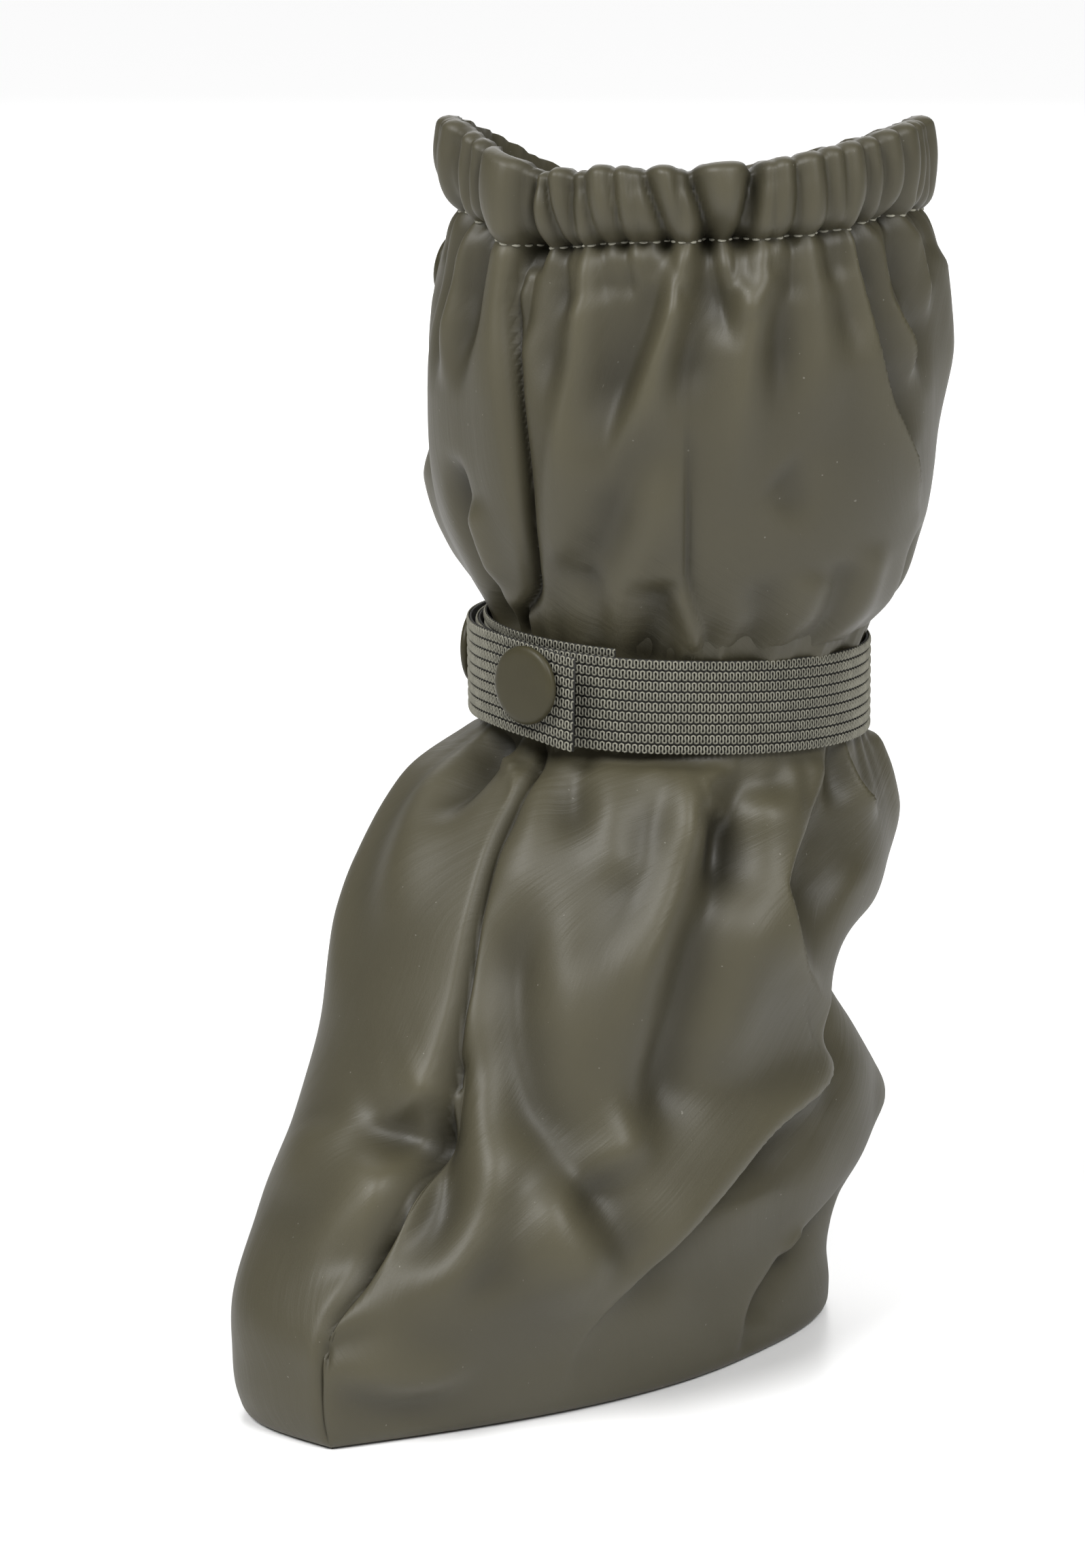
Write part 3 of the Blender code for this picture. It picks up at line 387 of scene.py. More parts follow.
HIDDEN_FOLDS = (
    # Back and inner side, which follow the solids' main folds
    (((800, 234.5), (810, 200), (850, 154)), -4.75, 7.59, 7.59, 0.8, 0.7),
    (((680, 234.5), (690, 215), (720, 190)), 3, 7.59, 5.06, 0.7, 0),
    (((920, 234.5), (930, 216), (960, 196)), -3.25, 5.69, 6.32, 0.9, 0),
    (((640, 176), (650, 164), (655, 153)), -3, 5.06, 5.06, 0, 1),
    (((930, 180), (940, 166), (945, 153)), 3, 6.32, 6.32, 0, 0.6),
    (((-270, 234.5), (-285, 205), (-300, 170)), -4.25, 6.96, 6.96, 0.9, 0.1),
    (((-350, 190), (-340, 170), (-335, 153)), 3.25, 6.96, 6.96, 0, 0.5),
    (((-580, 234.5), (-590, 195), (-560, 154)), -5, 8.86, 8.86, 0.7, 0.7),
    (((-670, 234.5), (-660, 218), (-640, 198)), 3.25, 6.32, 5.06, 0.8, 0),
    (((-760, 234.5), (-740, 210), (-750, 180)), -4.25, 7.59, 7.59, 0.9, 0),
    (((-880, 234.5), (-890, 214), (-860, 190), (-870, 153)), 3.25, 7.59, 6.32, 0.6, 0.4),
    (((-480, 131), (-440, 95), (-360, 45)), -6.25, 8.86, 10.12, 0.7, 0),
    (((-300, 131), (-260, 100), (-200, 70)), 4, 10.12, 8.86, 0.3, 0),
    (((-640, 131), (-600, 100), (-560, 55)), 5.5, 10.75, 8.86, 0.4, 0),
    (((-480, 69), (-700, 71), (-1000, 73)), -7, 7.59, 7.59, 0, 0.5),
    (((-600, 30), (-480, 33), (-330, 22)), -4.5, 6.32, 8.22, 0, 0),
    (((900, 131), (880, 112), (900, 90)), -4.75, 6.96, 6.96, 0.8, 0),
    (((780, 131), (770, 116), (800, 95)), 3.5, 7.59, 6.32, 0.4, 0),
    (((-820, 131), (-860, 108), (-840, 85)), -4.75, 6.96, 6.96, 0.8, 0),
    (((-960, 131), (-970, 115), (-940, 95)), 3.25, 6.96, 6.96, 0.4, 0),
    (((-400, 131), (-390, 113), (-350, 95)), 2.75, 6.32, 6.32, 0.5, 0),
    (((1000, 48), (880, 43), (760, 42)), 3.25, 7.59, 5.06, 0.3, 0),
    (((-960, 47), (-800, 42), (-660, 46)), 3.25, 5.06, 7.59, 0.3, 0),
    (((980, 30), (880, 24), (800, 18)), -2.5, 5.06, 6.32, 0, 0),
)
PATH_STEPS = 48
TINY = 1e-9
FADE_IN = 0.25
FADE_OUT = 0.40
REACHED = 3.2


def fold_path(path):
    """Points along a fold on the bare form, at equal steps of its course."""
    places = np.array(path)
    knots = np.arange(len(places), dtype=float)
    wanted = np.linspace(0.0, knots[-1], PATH_STEPS)
    around, heights = (smooth_through(knots, places[:, k], wanted) for k in (0, 1))
    return skin_points(around, heights)


def in_metres(row):
    """A row of the fold tables as named values, with lengths in metres and places around in half turns."""
    fold = dict(zip(FOLD_COLUMNS, (*row, ROUND_CREST, UPRIGHT)))
    fold["path"] = [(around * MILLI, height * MILLI) for around, height in fold["path"]]
    for name in ("depth", "left", "right", "lean"):
        fold[name] *= MILLI
    return fold


def add_fold(fold, points, normals, relief, slide):
    """Adds one fold to the relief along the normals and to the slide along the cloth."""
    path = fold_path(fold["path"])
    margin = REACHED * max(fold["left"], fold["right"])
    near = np.all((points > path.min(axis=0) - margin) & (points < path.max(axis=0) + margin), axis=1)
    apart = np.linalg.norm(points[near][:, None, :] - path[None, :, :], axis=2)
    nearest = apart.argmin(axis=1)
    step = np.gradient(path, axis=0)[nearest]
    stride = np.linalg.norm(step, axis=1)
    along = step / stride[:, None]
    from_path = points[near] - path[nearest]
    onward = (from_path * along).sum(axis=1) / stride
    onward = np.clip(onward, np.where(nearest == 0, 0.0, -0.5), np.where(nearest == PATH_STEPS - 1, 0.0, 0.5))
    from_path = from_path - along * (onward * stride)[:, None]
    across = unit(np.cross(normals[near], along))
    away = np.linalg.norm(from_path, axis=1)
    rightness = 0.5 + 0.5 * (across * from_path).sum(axis=1) / np.maximum(away, TINY)
    distance = away / (fold["left"] + (fold["right"] - fold["left"]) * rightness)
    course = (nearest + onward) / (PATH_STEPS - 1)
    share = fold["start"] + (1 - fold["start"]) * ease(0.0, FADE_IN, course)
    share = share * (fold["end"] + (1 - fold["end"]) * ease(0.0, FADE_OUT, 1 - course))
    relief[near] += fold["depth"] * share * np.exp(-(distance ** fold["sharp"]))
    slide[near] += across * (fold["lean"] * share * np.exp(-(distance**2)))[:, None]


# Collar: valleys between the gathered lobes, as (around, depth, width, slant, tail). Those in view are listed
# one by one, the rest placed by a seeded draw.
VALLEYS = (
    (-0.165, 0.0028, 0.0023, 0.004, 0.016),
    (-0.128, 0.0034, 0.0023, -0.004, 0.020),
    (-0.097, 0.0048, 0.0024, -0.006, 0.026),
    (-0.022, 0.0022, 0.0015, 0.004, 0.010),
    (-0.008, 0.0053, 0.0021, 0.002, 0.022),
    (0.036, 0.0048, 0.0021, -0.023, 0.018),
    (0.059, 0.0050, 0.0023, -0.006, 0.014),
    (0.091, 0.0036, 0.0020, -0.018, 0.012),
    (0.126, 0.0034, 0.0018, -0.014, 0.012),
    (0.152, 0.0017, 0.0016, -0.016, 0.008),
    (0.185, 0.0050, 0.0024, -0.032, 0.014),
    (0.206, 0.0017, 0.0016, -0.010, 0.008),
    (0.240, 0.0059, 0.0025, -0.028, 0.022),
    (0.279, 0.0050, 0.0021, 0.017, 0.016),
    (0.292, 0.0034, 0.0018, 0.010, 0.010),
    (0.320, 0.0020, 0.0017, 0.004, 0.008),
    (0.350, 0.0036, 0.0021, 0.004, 0.014),
    (0.396, 0.0028, 0.0020, -0.004, 0.012),
    (0.420, 0.0020, 0.0017, 0.002, 0.010),
    (0.465, 0.0034, 0.0021, -0.004, 0.016),
    (0.502, 0.0039, 0.0021, -0.006, 0.020),
    (0.545, 0.0034, 0.0021, -0.004, 0.018),
    (0.588, 0.0036, 0.0022, 0.004, 0.020),
    (0.622, 0.0028, 0.0021, 0.002, 0.016),
)
HIDDEN_VALLEYS = 36
HIDDEN_FROM = 0.650
HIDDEN_TO = 1.840
HIDDEN_SCATTER = 0.25
HIDDEN_DEPTH = (0.0020, 0.0036)
HIDDEN_WIDTH = 0.0026
HIDDEN_SLANT = (-0.008, 0.008)
HIDDEN_TAIL = (0.010, 0.026)
COLLAR_SEED = 11
# A valley's crease runs through the tunnel, and its tail below the stitches
CREASE_ENDS = (0.75, 0.8)
CREASE_SHARP = 1.25
TUNNEL_MIDDLE = 0.2460
TAIL_SHARE = 0.45
TAIL_SPREAD = 1.3
TAIL_ENDS = (1.0, 0.0)
TAIL_SHARP = 1.4
# The hem's puffed tunnel, drawn in along the stitches and scalloped at the rim
STITCH_PINCH = 0.0011
STITCH_PINCH_REACH = 0.0013
STITCH_PINCH_SHARP = 1.5
HEM_PUFF = 0.0024
HEM_FULLNESS = 0.7
SCALLOP = 0.55


def hidden_valleys():
    """Valleys on the sides that the picture leaves out: even places, a little scattered."""
    draw = np.random.default_rng(COLLAR_SEED)
    step = (HIDDEN_TO - HIDDEN_FROM) / (HIDDEN_VALLEYS - 1)
    for k in range(HIDDEN_VALLEYS):
        place = HIDDEN_FROM + step * (k + draw.uniform(-HIDDEN_SCATTER, HIDDEN_SCATTER))
        depth, slant, tail = (draw.uniform(*span) for span in (HIDDEN_DEPTH, HIDDEN_SLANT, HIDDEN_TAIL))
        yield wrapped(place), depth, HIDDEN_WIDTH, slant, tail


def valley_folds(valley):
    """The two folds of a valley: a narrow one through the tunnel and a wider tail below the stitches."""
    foot, depth, width, slant, tail = valley
    low = STITCH_HEIGHT - tail
    crease_path = ((foot + slant, RIM_HEIGHT), (foot + slant / 2, TUNNEL_MIDDLE), (foot, STITCH_HEIGHT))
    tail_path = ((foot, STITCH_HEIGHT), (foot - slant / 2, (STITCH_HEIGHT + low) / 2), (foot - slant, low))
    wide = TAIL_SPREAD * width
    folds = (
        (crease_path, -depth, width, width, *CREASE_ENDS, CREASE_SHARP, UPRIGHT),
        (tail_path, -TAIL_SHARE * depth, wide, wide, *TAIL_ENDS, TAIL_SHARP, UPRIGHT),
    )
    return [dict(zip(FOLD_COLUMNS, fold)) for fold in folds]


# Cloth held by the strap, the floor and the pairing snap
STRAP_HOLD = 0.0110
STRAP_LET_GO = 0.0150
GROUND_HOLD = 0.0050
BOTTOM_ROLL = 0.0026
BOTTOM_TURN = 0.6
HEM_STEP_BELOW = 0.001
HEM_STEP_ABOVE = 0.003
PAIR_AROUND = -0.430
PAIR_HEIGHT = 0.2250
PAIR_FLAT = 0.0088
PAIR_FREE = 0.0176
# Small gathers where the strap draws the cloth in
STRAP_LOBES = 34
STRAP_LOBE_DEPTH = 0.0008
STRAP_LOBE_SHIFT = 0.012
STRAP_LOBE_SHIFTS = 9
STRAP_GATHER_FADE = 0.0070

# Rows of the fine skin: (from, to, steps). Columns are closer together on the side that the picture shows.
ROW_RUNS = (
    (BOTTOM_HEIGHT, 0.0040, 8), (0.0040, 0.1290, 132), (0.1290, 0.1540, 14), (0.1540, 0.2260, 66),
    (0.2260, 0.2356, 12), (0.2356, 0.2380, 8), (0.2380, 0.2533, 20), (0.2533, RIM_HEIGHT, 6),
)
SKIN_COLUMNS = 332
SHOWN_FROM = -0.24
SHOWN_TO = 0.66
SHOWN_EDGE = 0.06
SHOWN_DENSITY = 3.0
SEAM_DENSITY = 5.0
SEAM_SPREAD = 0.016
COLUMN_STEPS = 4001
INNER_ROW_STEP = 9
INNER_COLUMNS = 2


def row_heights():
    """Heights of the fine rows, from the floor to the top of the rim."""
    runs = [np.linspace(low, high, steps, endpoint=False) for low, high, steps in ROW_RUNS]
    return np.concatenate((*runs, [RIM_HEIGHT]))


def column_places():
    """Places of the fine columns around the bag."""
    fine = np.linspace(-1.0, 1.0, COLUMN_STEPS)
    begun = ease(SHOWN_FROM - SHOWN_EDGE, SHOWN_FROM, fine)
    shown = begun * (1 - ease(SHOWN_TO, SHOWN_TO + SHOWN_EDGE, fine))
    density = 1 + (SHOWN_DENSITY - 1) * shown + SEAM_DENSITY * np.exp(-((fine / SEAM_SPREAD) ** 2))
    share = running((density[1:] + density[:-1]) / 2)
    return np.interp(np.arange(SKIN_COLUMNS) / SKIN_COLUMNS * share[-1], share, fine)


# Round folds of the foot are averaged over a few rows and columns, so that they run out broadly
EASE_ROWS = 2
EASE_COLUMNS = 4
EASE_GAIN = 1.4


def smoothed(relief, rows, columns):
    """The relief averaged twice over a few rows and columns each way."""
    wide = relief
    for _ in range(2):
        tall = np.pad(wide, ((rows, rows), (0, 0)), mode="edge")
        wide = np.mean([tall[k:k + len(relief)] for k in range(2 * rows + 1)], axis=0)
        wide = np.mean([np.roll(wide, k, axis=1) for k in range(-columns, columns + 1)], axis=0)
    return wide


def skin_relief(heights, around, grid, normals):
    """How far the cloth stands off the bare form at each point, and how far it slides along it."""
    points, outs = grid.reshape(-1, 3), normals.reshape(-1, 3)
    soft, crisp, valleys = reliefs = np.zeros((3, len(points)))
    slide = np.zeros_like(points)
    for fold in map(in_metres, FRONT_FOLDS + OUTER_FOLDS):
        add_fold(fold, points, outs, soft if fold["sharp"] == ROUND_CREST else crisp, slide)
    for fold in map(in_metres, SHAFT_FOLDS + HIDDEN_FOLDS):
        add_fold(fold, points, outs, crisp, slide)
    for valley in (*VALLEYS, *hidden_valleys()):
        for fold in valley_folds(valley):
            add_fold(fold, points, outs, valleys, slide)
    soft, crisp, valleys = reliefs.reshape(3, *grid.shape[:2])
    slide = slide.reshape(grid.shape)
    relief = crisp + EASE_GAIN * smoothed(soft, EASE_ROWS, EASE_COLUMNS)
    h = heights[:, None]
    off = np.clip(np.abs(h - STRAP_HEIGHT) - STRAP_WIDTH / 2, 0.0, None)
    uneven = around + STRAP_LOBE_SHIFT * np.sin(math.pi * STRAP_LOBE_SHIFTS * around)
    waves = 0.5 - 0.5 * np.cos(math.pi * STRAP_LOBES * uneven)
    relief = relief - STRAP_LOBE_DEPTH * np.exp(-off / STRAP_GATHER_FADE) * waves
    held = 1 - ease(STRAP_HOLD, STRAP_LET_GO, np.abs(h - STRAP_HEIGHT))
    relief = (1 - held) * relief + held * np.minimum(relief, 0.0)
    tunnel = np.clip((h - STITCH_HEIGHT) / (RIM_HEIGHT - STITCH_HEIGHT), 0.0, 1.0)
    puff = HEM_PUFF * np.clip(tunnel * (1 - tunnel) * 4, 0.0, 1.0) ** HEM_FULLNESS
    near_stitch = np.exp(-((np.abs(h - STITCH_HEIGHT) / STITCH_PINCH_REACH) ** STITCH_PINCH_SHARP))
    pinch = STITCH_PINCH * near_stitch
    relief = relief + valleys + puff - pinch
    spot = skin_points([PAIR_AROUND], [PAIR_HEIGHT])[0]
    free = ease(PAIR_FLAT, PAIR_FREE, np.linalg.norm(grid - spot, axis=2))
    free = free * ease(0.0, GROUND_HOLD, h)
    slide = slide * (free * (1 - held))[:, :, None]
    slide[:, :, 2] += SCALLOP * valleys * tunnel**2
    return relief * free, slide


@functools.cache
def fine_skin():
    """The bag's fine outer skin: its heights, places around, bare grid, normals, relief, slide and points."""
    heights, around = row_heights(), column_places()
    grid = bare_skin(heights, around)
    normals = outward(grid)
    relief, slide = skin_relief(heights, around, grid, normals)
    skin = grid + normals * (relief - rounded_edge(heights)[:, None])[:, :, None] + slide
    return heights, around, grid, normals, relief, slide, skin


def rounded_edge(heights):
    """How far the skin turns in at the rolled bottom edge and over the rim."""
    half = HEM_DEPTH / 2
    over = np.clip(heights - (RIM_HEIGHT - half), 0.0, half)
    under = np.clip(BOTTOM_ROLL - heights, 0.0, BOTTOM_ROLL)
    rim = half - np.sqrt(half**2 - over**2)
    return rim + BOTTOM_TURN * (BOTTOM_ROLL - np.sqrt(BOTTOM_ROLL**2 - under**2))


def wall_depth(heights):
    """The wall's thickness at each height: cloth, then the folded hem with its elastic."""
    hem = ease(STITCH_HEIGHT - HEM_STEP_BELOW, STITCH_HEIGHT + HEM_STEP_ABOVE, heights)
    return CLOTH + (HEM_DEPTH - CLOTH) * hem


def lowest_near(relief, rows, columns):
    """The least relief within a few rows and columns of each point, to keep the lining inside the skin."""
    low = relief.copy()
    for step in range(1, rows + 1):
        low[step:] = np.minimum(low[step:], relief[:-step])
        low[:-step] = np.minimum(low[:-step], relief[step:])
    wide = low.copy()
    for step in range(1, columns + 1):
        wide = np.minimum(wide, np.minimum(np.roll(low, step, axis=1), np.roll(low, -step, axis=1)))
    return wide


# Mask for the cloth's painted shade in creases and painted highlight on crests, read from the relief's depth
PAINTED_LIGHT_DEPTH = 0.0030
PAINTED_LIGHT_ROWS = 5
PAINTED_LIGHT_COLUMNS = 8


def painted_light_mask(relief):
    """Depth below the cloth about it, the mask for painted shade and highlight: 0 level, 1 deep in a crease,
    below 0 on a crest.
    """
    return np.clip((smoothed(relief, PAINTED_LIGHT_ROWS, PAINTED_LIGHT_COLUMNS) - relief) / PAINTED_LIGHT_DEPTH, -1.0, 1.0)


def ring_faces(rings, count, closed):
    """Quads between rings of points; a closed tube also joins its last ring to its first."""
    ring, k = np.meshgrid(np.arange(rings if closed else rings - 1), np.arange(count), indexing="ij")
    low, high, after = ring * count, (ring + 1) % rings * count, (k + 1) % count
    return np.stack((low + k, low + after, high + after, high + k), axis=-1).reshape(-1, 4)


def capped_tube(rings, count, start=0):
    """Faces of a tube of rings with a cap at each end, its points counted from the start."""
    last = start + (rings - 1) * count
    caps = [tuple(range(start + count - 1, start - 1, -1)), tuple(range(last, last + count))]
    return [tuple(face + start) for face in ring_faces(rings, count, False)] + caps


def tube_ways(course, out):
    """Unit vectors square to a course of points: to its side, and outward."""
    along = np.gradient(course, axis=0)
    side = unit(np.cross(out, along))
    return side, unit(np.cross(along, side))


def new_piece(name, points, faces, material, slot, *nodes):
    """A smooth mesh piece that rides on the body, takes a finish and stands for solids. The slot is not used.
    """
    mesh = bpy.data.meshes.new(name)
    mesh.from_pydata(np.asarray(points).tolist(), [], [list(map(int, face)) for face in faces])
    mesh.shade_smooth()
    mesh.materials.append(material)
    made = bpy.data.objects.new(name, mesh)
    bpy.context.scene.collection.objects.link(made)
    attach(made, BODY)
    if nodes:
        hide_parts(*nodes)
    return made


def set_places(piece, places):
    """Stores where each point lies on the flat cloth and how deep in a crease, the mask for painted shade and
    highlight.
    """
    stored = piece.data.attributes.new(PLACE, "FLOAT_VECTOR", "POINT")
    stored.data.foreach_set("vector", np.asarray(places, np.float32).ravel())


class Wire:
    """A shader value. Python's operators on it add Math nodes."""

    def __init__(self, finish, socket):
        self.finish, self.socket = finish, socket

    def math(self, operation, first, second):
        return self.finish.node("ShaderNodeMath", {"operation": operation}, {0: first, 1: second})

    def __add__(self, other):
        return self.math("ADD", self, other)

    def __sub__(self, other):
        return self.math("SUBTRACT", self, other)

    def __rsub__(self, other):
        return self.math("SUBTRACT", other, self)

    def __mul__(self, other):
        return self.math("MULTIPLY", self, other)

    __radd__ = __add__
    __rmul__ = __mul__


class Finish:
    """A material being made: its node tree and one method that adds any node."""

    def __init__(self, name):
        self.material = bpy.data.materials.new(name)
        self.material.use_nodes = True
        self.tree = self.material.node_tree
        self.shader = self.tree.nodes["Principled BSDF"]

    def node(self, kind, settings, sockets, output=0):
        """A node of this kind, with its settings, then its sockets' values or links; gives one output."""
        made = self.tree.nodes.new(kind)
        for name, value in settings.items():
            setattr(made, name, value)
        for name, value in sockets.items():
            self.feed(made.inputs[name], value)
        return Wire(self, made.outputs[output])

    def feed(self, socket, value):
        """Links a wire to a socket, or sets the socket's own value."""
        if isinstance(value, Wire):
            self.tree.links.new(value.socket, socket)
        else:
            socket.default_value = value

    def shade(self, **sockets):
        """Sets the principled shader's sockets, named with _ for a space."""
        for name, value in sockets.items():
            self.feed(self.shader.inputs[name.replace("_", " ").title()], value)
        return self.material

    def noise(self, where, scale, detail=2.0, roughness=0.5):
        """Grey noise from 0 to 1."""
        sockets = {"Vector": where, "Scale": scale, "Detail": detail, "Roughness": roughness}
        return self.node("ShaderNodeTexNoise", {}, sockets)

    def stretch(self, where, scale):
        """Coordinates scaled by three factors."""
        return self.node("ShaderNodeVectorMath", {"operation": "MULTIPLY"}, {0: where, 1: scale})

    def between(self, value, low, high):
        """A smooth step of a value from 0 at low to 1 at high."""
        settings = {"interpolation_type": "SMOOTHSTEP"}
        return self.node("ShaderNodeMapRange", settings, {"Value": value, "From Min": low, "From Max": high})

    def blend(self, share, first, second):
        """A colour from first, at share 0, to second, at share 1."""
        settings = {"data_type": "RGBA"}
        return self.node("ShaderNodeMix", settings, {"Factor": share, "A": first, "B": second}, "Result")

    def bump(self, height, distance, strength, normal=None):
        """A normal bent by a height in metres."""
        sockets = {"Height": height, "Distance": distance, "Strength": strength}
        if normal:
            sockets["Normal"] = normal
        return self.node("ShaderNodeBump", {}, sockets)


def scaled(colour, share=1.0):
    """A colour property scaled and made opaque."""
    return (*(share * part for part in colour), 1.0)


class OvershoeCloth(bpy.types.PropertyGroup):
    """Coated cloth of the bag and the sole's sheet."""

    colour: FloatVectorProperty(
        name="Cloth", description="Colour of the coated cloth", subtype="COLOR", size=3, min=0, max=1,
        default=(0.0505, 0.0450, 0.0260),
    )
    roughness: FloatProperty(name="Roughness", description="Gloss of the coating", default=0.48, min=0, max=1)
    rib: FloatProperty(
        name="Rib", description="Spacing of the knit's ribs", default=0.00085, subtype="DISTANCE",
    )


class OvershoeKnit(bpy.types.PropertyGroup):
    """Knitted elastic of the strap and its backing, and the sewing thread."""

    colour: FloatVectorProperty(
        name="Yarn", description="Colour of the yarn", subtype="COLOR", size=3, min=0, max=1,
        default=(0.190, 0.184, 0.146),
    )
    yarn: FloatProperty(
        name="Yarn radius", description="Half the yarn's thickness", default=0.00021, subtype="DISTANCE",
    )
    pitch: FloatProperty(
        name="Loop pitch", description="Length of one loop along the strap", default=0.00133,
        subtype="DISTANCE",
    )
    stitch: FloatProperty(
        name="Stitch", description="Length of one stitch and its gap", default=0.0030, subtype="DISTANCE",
    )


class OvershoeSnap(bpy.types.PropertyGroup):
    """Enamelled press studs."""

    colour: FloatVectorProperty(
        name="Enamel", description="Colour of the enamel", subtype="COLOR", size=3, min=0, max=1,
        default=(0.040, 0.0355, 0.0185),
    )
    roughness: FloatProperty(name="Roughness", description="Gloss of the enamel", default=0.42, min=0, max=1)


class OvershoeStage(bpy.types.PropertyGroup):
    """Floor, light and camera."""

    floor: FloatVectorProperty(
        name="Floor", description="Colour of the floor", subtype="COLOR", size=3, min=0, max=1,
        default=(0.93, 0.93, 0.93),
    )
    sky: FloatProperty(name="Surround", description="Brightness of the white surround", default=0.15, min=0)
    back: FloatProperty(
        name="Back", description="Power of the soft light behind", default=16.0, min=0, unit="POWER",
    )
    fill: FloatProperty(name="Fill", description="Power of the side light", default=2.0, min=0, unit="POWER")
    sun: FloatProperty(
        name="Overhead", description="Strength of the two high lights together", default=5.2, min=0,
    )


# Coated cloth: noise scales, shares of the tones, and bumps as (height in metres, strength)
CLOTH_SHEEN = 0.40
MOTTLE_SCALE = 38.0
MOTTLE_TONES = (0.90, 1.12)
MOTTLE_GLOSS = 0.10
GRAIN_SCALE = 2600.0
GRAIN_GLOSS = 0.06
GRAIN_BUMP = (0.00004, 0.5)
RIB_LENGTH = 0.12
RIB_BUMP = (0.00007, 0.5)
STREAK_SCALES = (260.0, 18.0, 0.0)
STREAK_BUMP = (0.00035, 0.35)
SPECK_SCALE = 1400.0
SPECK_RANGE = (0.87, 0.90)
SPECK_SHARE = 0.35
SPECK_COLOUR = (0.30, 0.29, 0.25, 1.0)
# Painted shade: a share of the crease mask darkens the colour in creases; painted highlight: it lightens the
# crests
PAINTED_SHADE_SHARE = 0.75
PAINTED_SHADE_TONE = 0.28
PAINTED_HIGHLIGHT_SHARE = -0.55
PAINTED_HIGHLIGHT_TONE = 1.6


def cloth_finish(name, settings):
    """Satin coated knit: fine ribs, mottling, specks and stress lines, with painted shade in creases and a
    painted highlight on crests.
    """
    finish = Finish(name)
    place = finish.node("ShaderNodeAttribute", {"attribute_name": PLACE}, {}, "Vector")
    solid = finish.node("ShaderNodeTexCoord", {}, {}, "Object")
    mottle = finish.noise(solid, MOTTLE_SCALE, detail=3.0)
    grain = finish.noise(solid, GRAIN_SCALE)
    ribs = finish.stretch(place, (1 / settings.rib, RIB_LENGTH / settings.rib, 0.0))
    ribs = finish.noise(ribs, 1.0, roughness=0.6)
    streaks = finish.noise(finish.stretch(place, STREAK_SCALES), 1.0, detail=3.0, roughness=0.55)
    specks = finish.between(finish.noise(solid, SPECK_SCALE, detail=0.0), *SPECK_RANGE)
    tone = finish.blend(mottle, *(scaled(settings.colour, share) for share in MOTTLE_TONES))
    tone = finish.blend(specks * SPECK_SHARE, tone, SPECK_COLOUR)
    # Painted shade darkens the colour in the creases and a painted highlight lightens it on the crests
    painted_light = finish.node("ShaderNodeSeparateXYZ", {}, {0: place}, "Z")
    tone = finish.blend(painted_light * PAINTED_SHADE_SHARE, tone, scaled(settings.colour, PAINTED_SHADE_TONE))
    tone = finish.blend(painted_light * PAINTED_HIGHLIGHT_SHARE, tone, scaled(settings.colour, PAINTED_HIGHLIGHT_TONE))
    gloss = settings.roughness + MOTTLE_GLOSS * (mottle - 0.5) + GRAIN_GLOSS * grain
    finish.feed(finish.shader.inputs["Specular IOR Level"], CLOTH_SHEEN)
    fine = finish.bump(grain, *GRAIN_BUMP)
    ribbed = finish.bump(ribs, *RIB_BUMP, fine)
    creased = finish.bump(streaks, *STREAK_BUMP, ribbed)
    return finish.shade(base_color=tone, roughness=gloss, normal=creased)


# Yarn: shares of its tones, noise scales, and the hairs' bump and roughness
YARN_TONES = (0.62, 1.38)
YARN_PATCH_SCALE = 420.0
YARN_HAIR_SCALE = 5200.0
YARN_HAIR_BUMP = (0.00008, 0.6)
YARN_ROUGHNESS = 0.62
YARN_HAIR_ROUGHNESS = 0.2


def yarn_finish(name, settings, share):
    """Matt textured yarn, a little uneven in tone."""
    finish = Finish(name)
    solid = finish.node("ShaderNodeTexCoord", {}, {}, "Object")
    patches = finish.noise(solid, YARN_PATCH_SCALE, detail=3.0)
    hairs = finish.noise(solid, YARN_HAIR_SCALE)
    tone = finish.blend(patches, *(scaled(settings.colour, part * share) for part in YARN_TONES))
    gloss = YARN_ROUGHNESS + YARN_HAIR_ROUGHNESS * hairs
    return finish.shade(base_color=tone, roughness=gloss, normal=finish.bump(hairs, *YARN_HAIR_BUMP))


# Enamel: shares of its tones, noise scales, and the grain's gloss and bump
ENAMEL_SHEEN = 0.22
ENAMEL_TONES = (0.9, 1.12)
ENAMEL_MOTTLE_SCALE = 160.0
PEEL_SCALE = 1500.0
PEEL_SMOOTH = 0.06
PEEL_GLOSS = 0.14
PEEL_BUMP = (0.00006, 0.35)


def enamel_finish(name, settings, share):
    """Olive enamel with a fine orange-peel grain."""
    finish = Finish(name)
    solid = finish.node("ShaderNodeTexCoord", {}, {}, "Object")
    peel = finish.noise(solid, PEEL_SCALE, detail=3.0)
    mottle = finish.noise(solid, ENAMEL_MOTTLE_SCALE)
    tone = finish.blend(mottle, *(scaled(settings.colour, part * share) for part in ENAMEL_TONES))
    gloss = settings.roughness - PEEL_SMOOTH + PEEL_GLOSS * peel
    finish.feed(finish.shader.inputs["Specular IOR Level"], ENAMEL_SHEEN)
    return finish.shade(base_color=tone, roughness=gloss, normal=finish.bump(peel, *PEEL_BUMP))


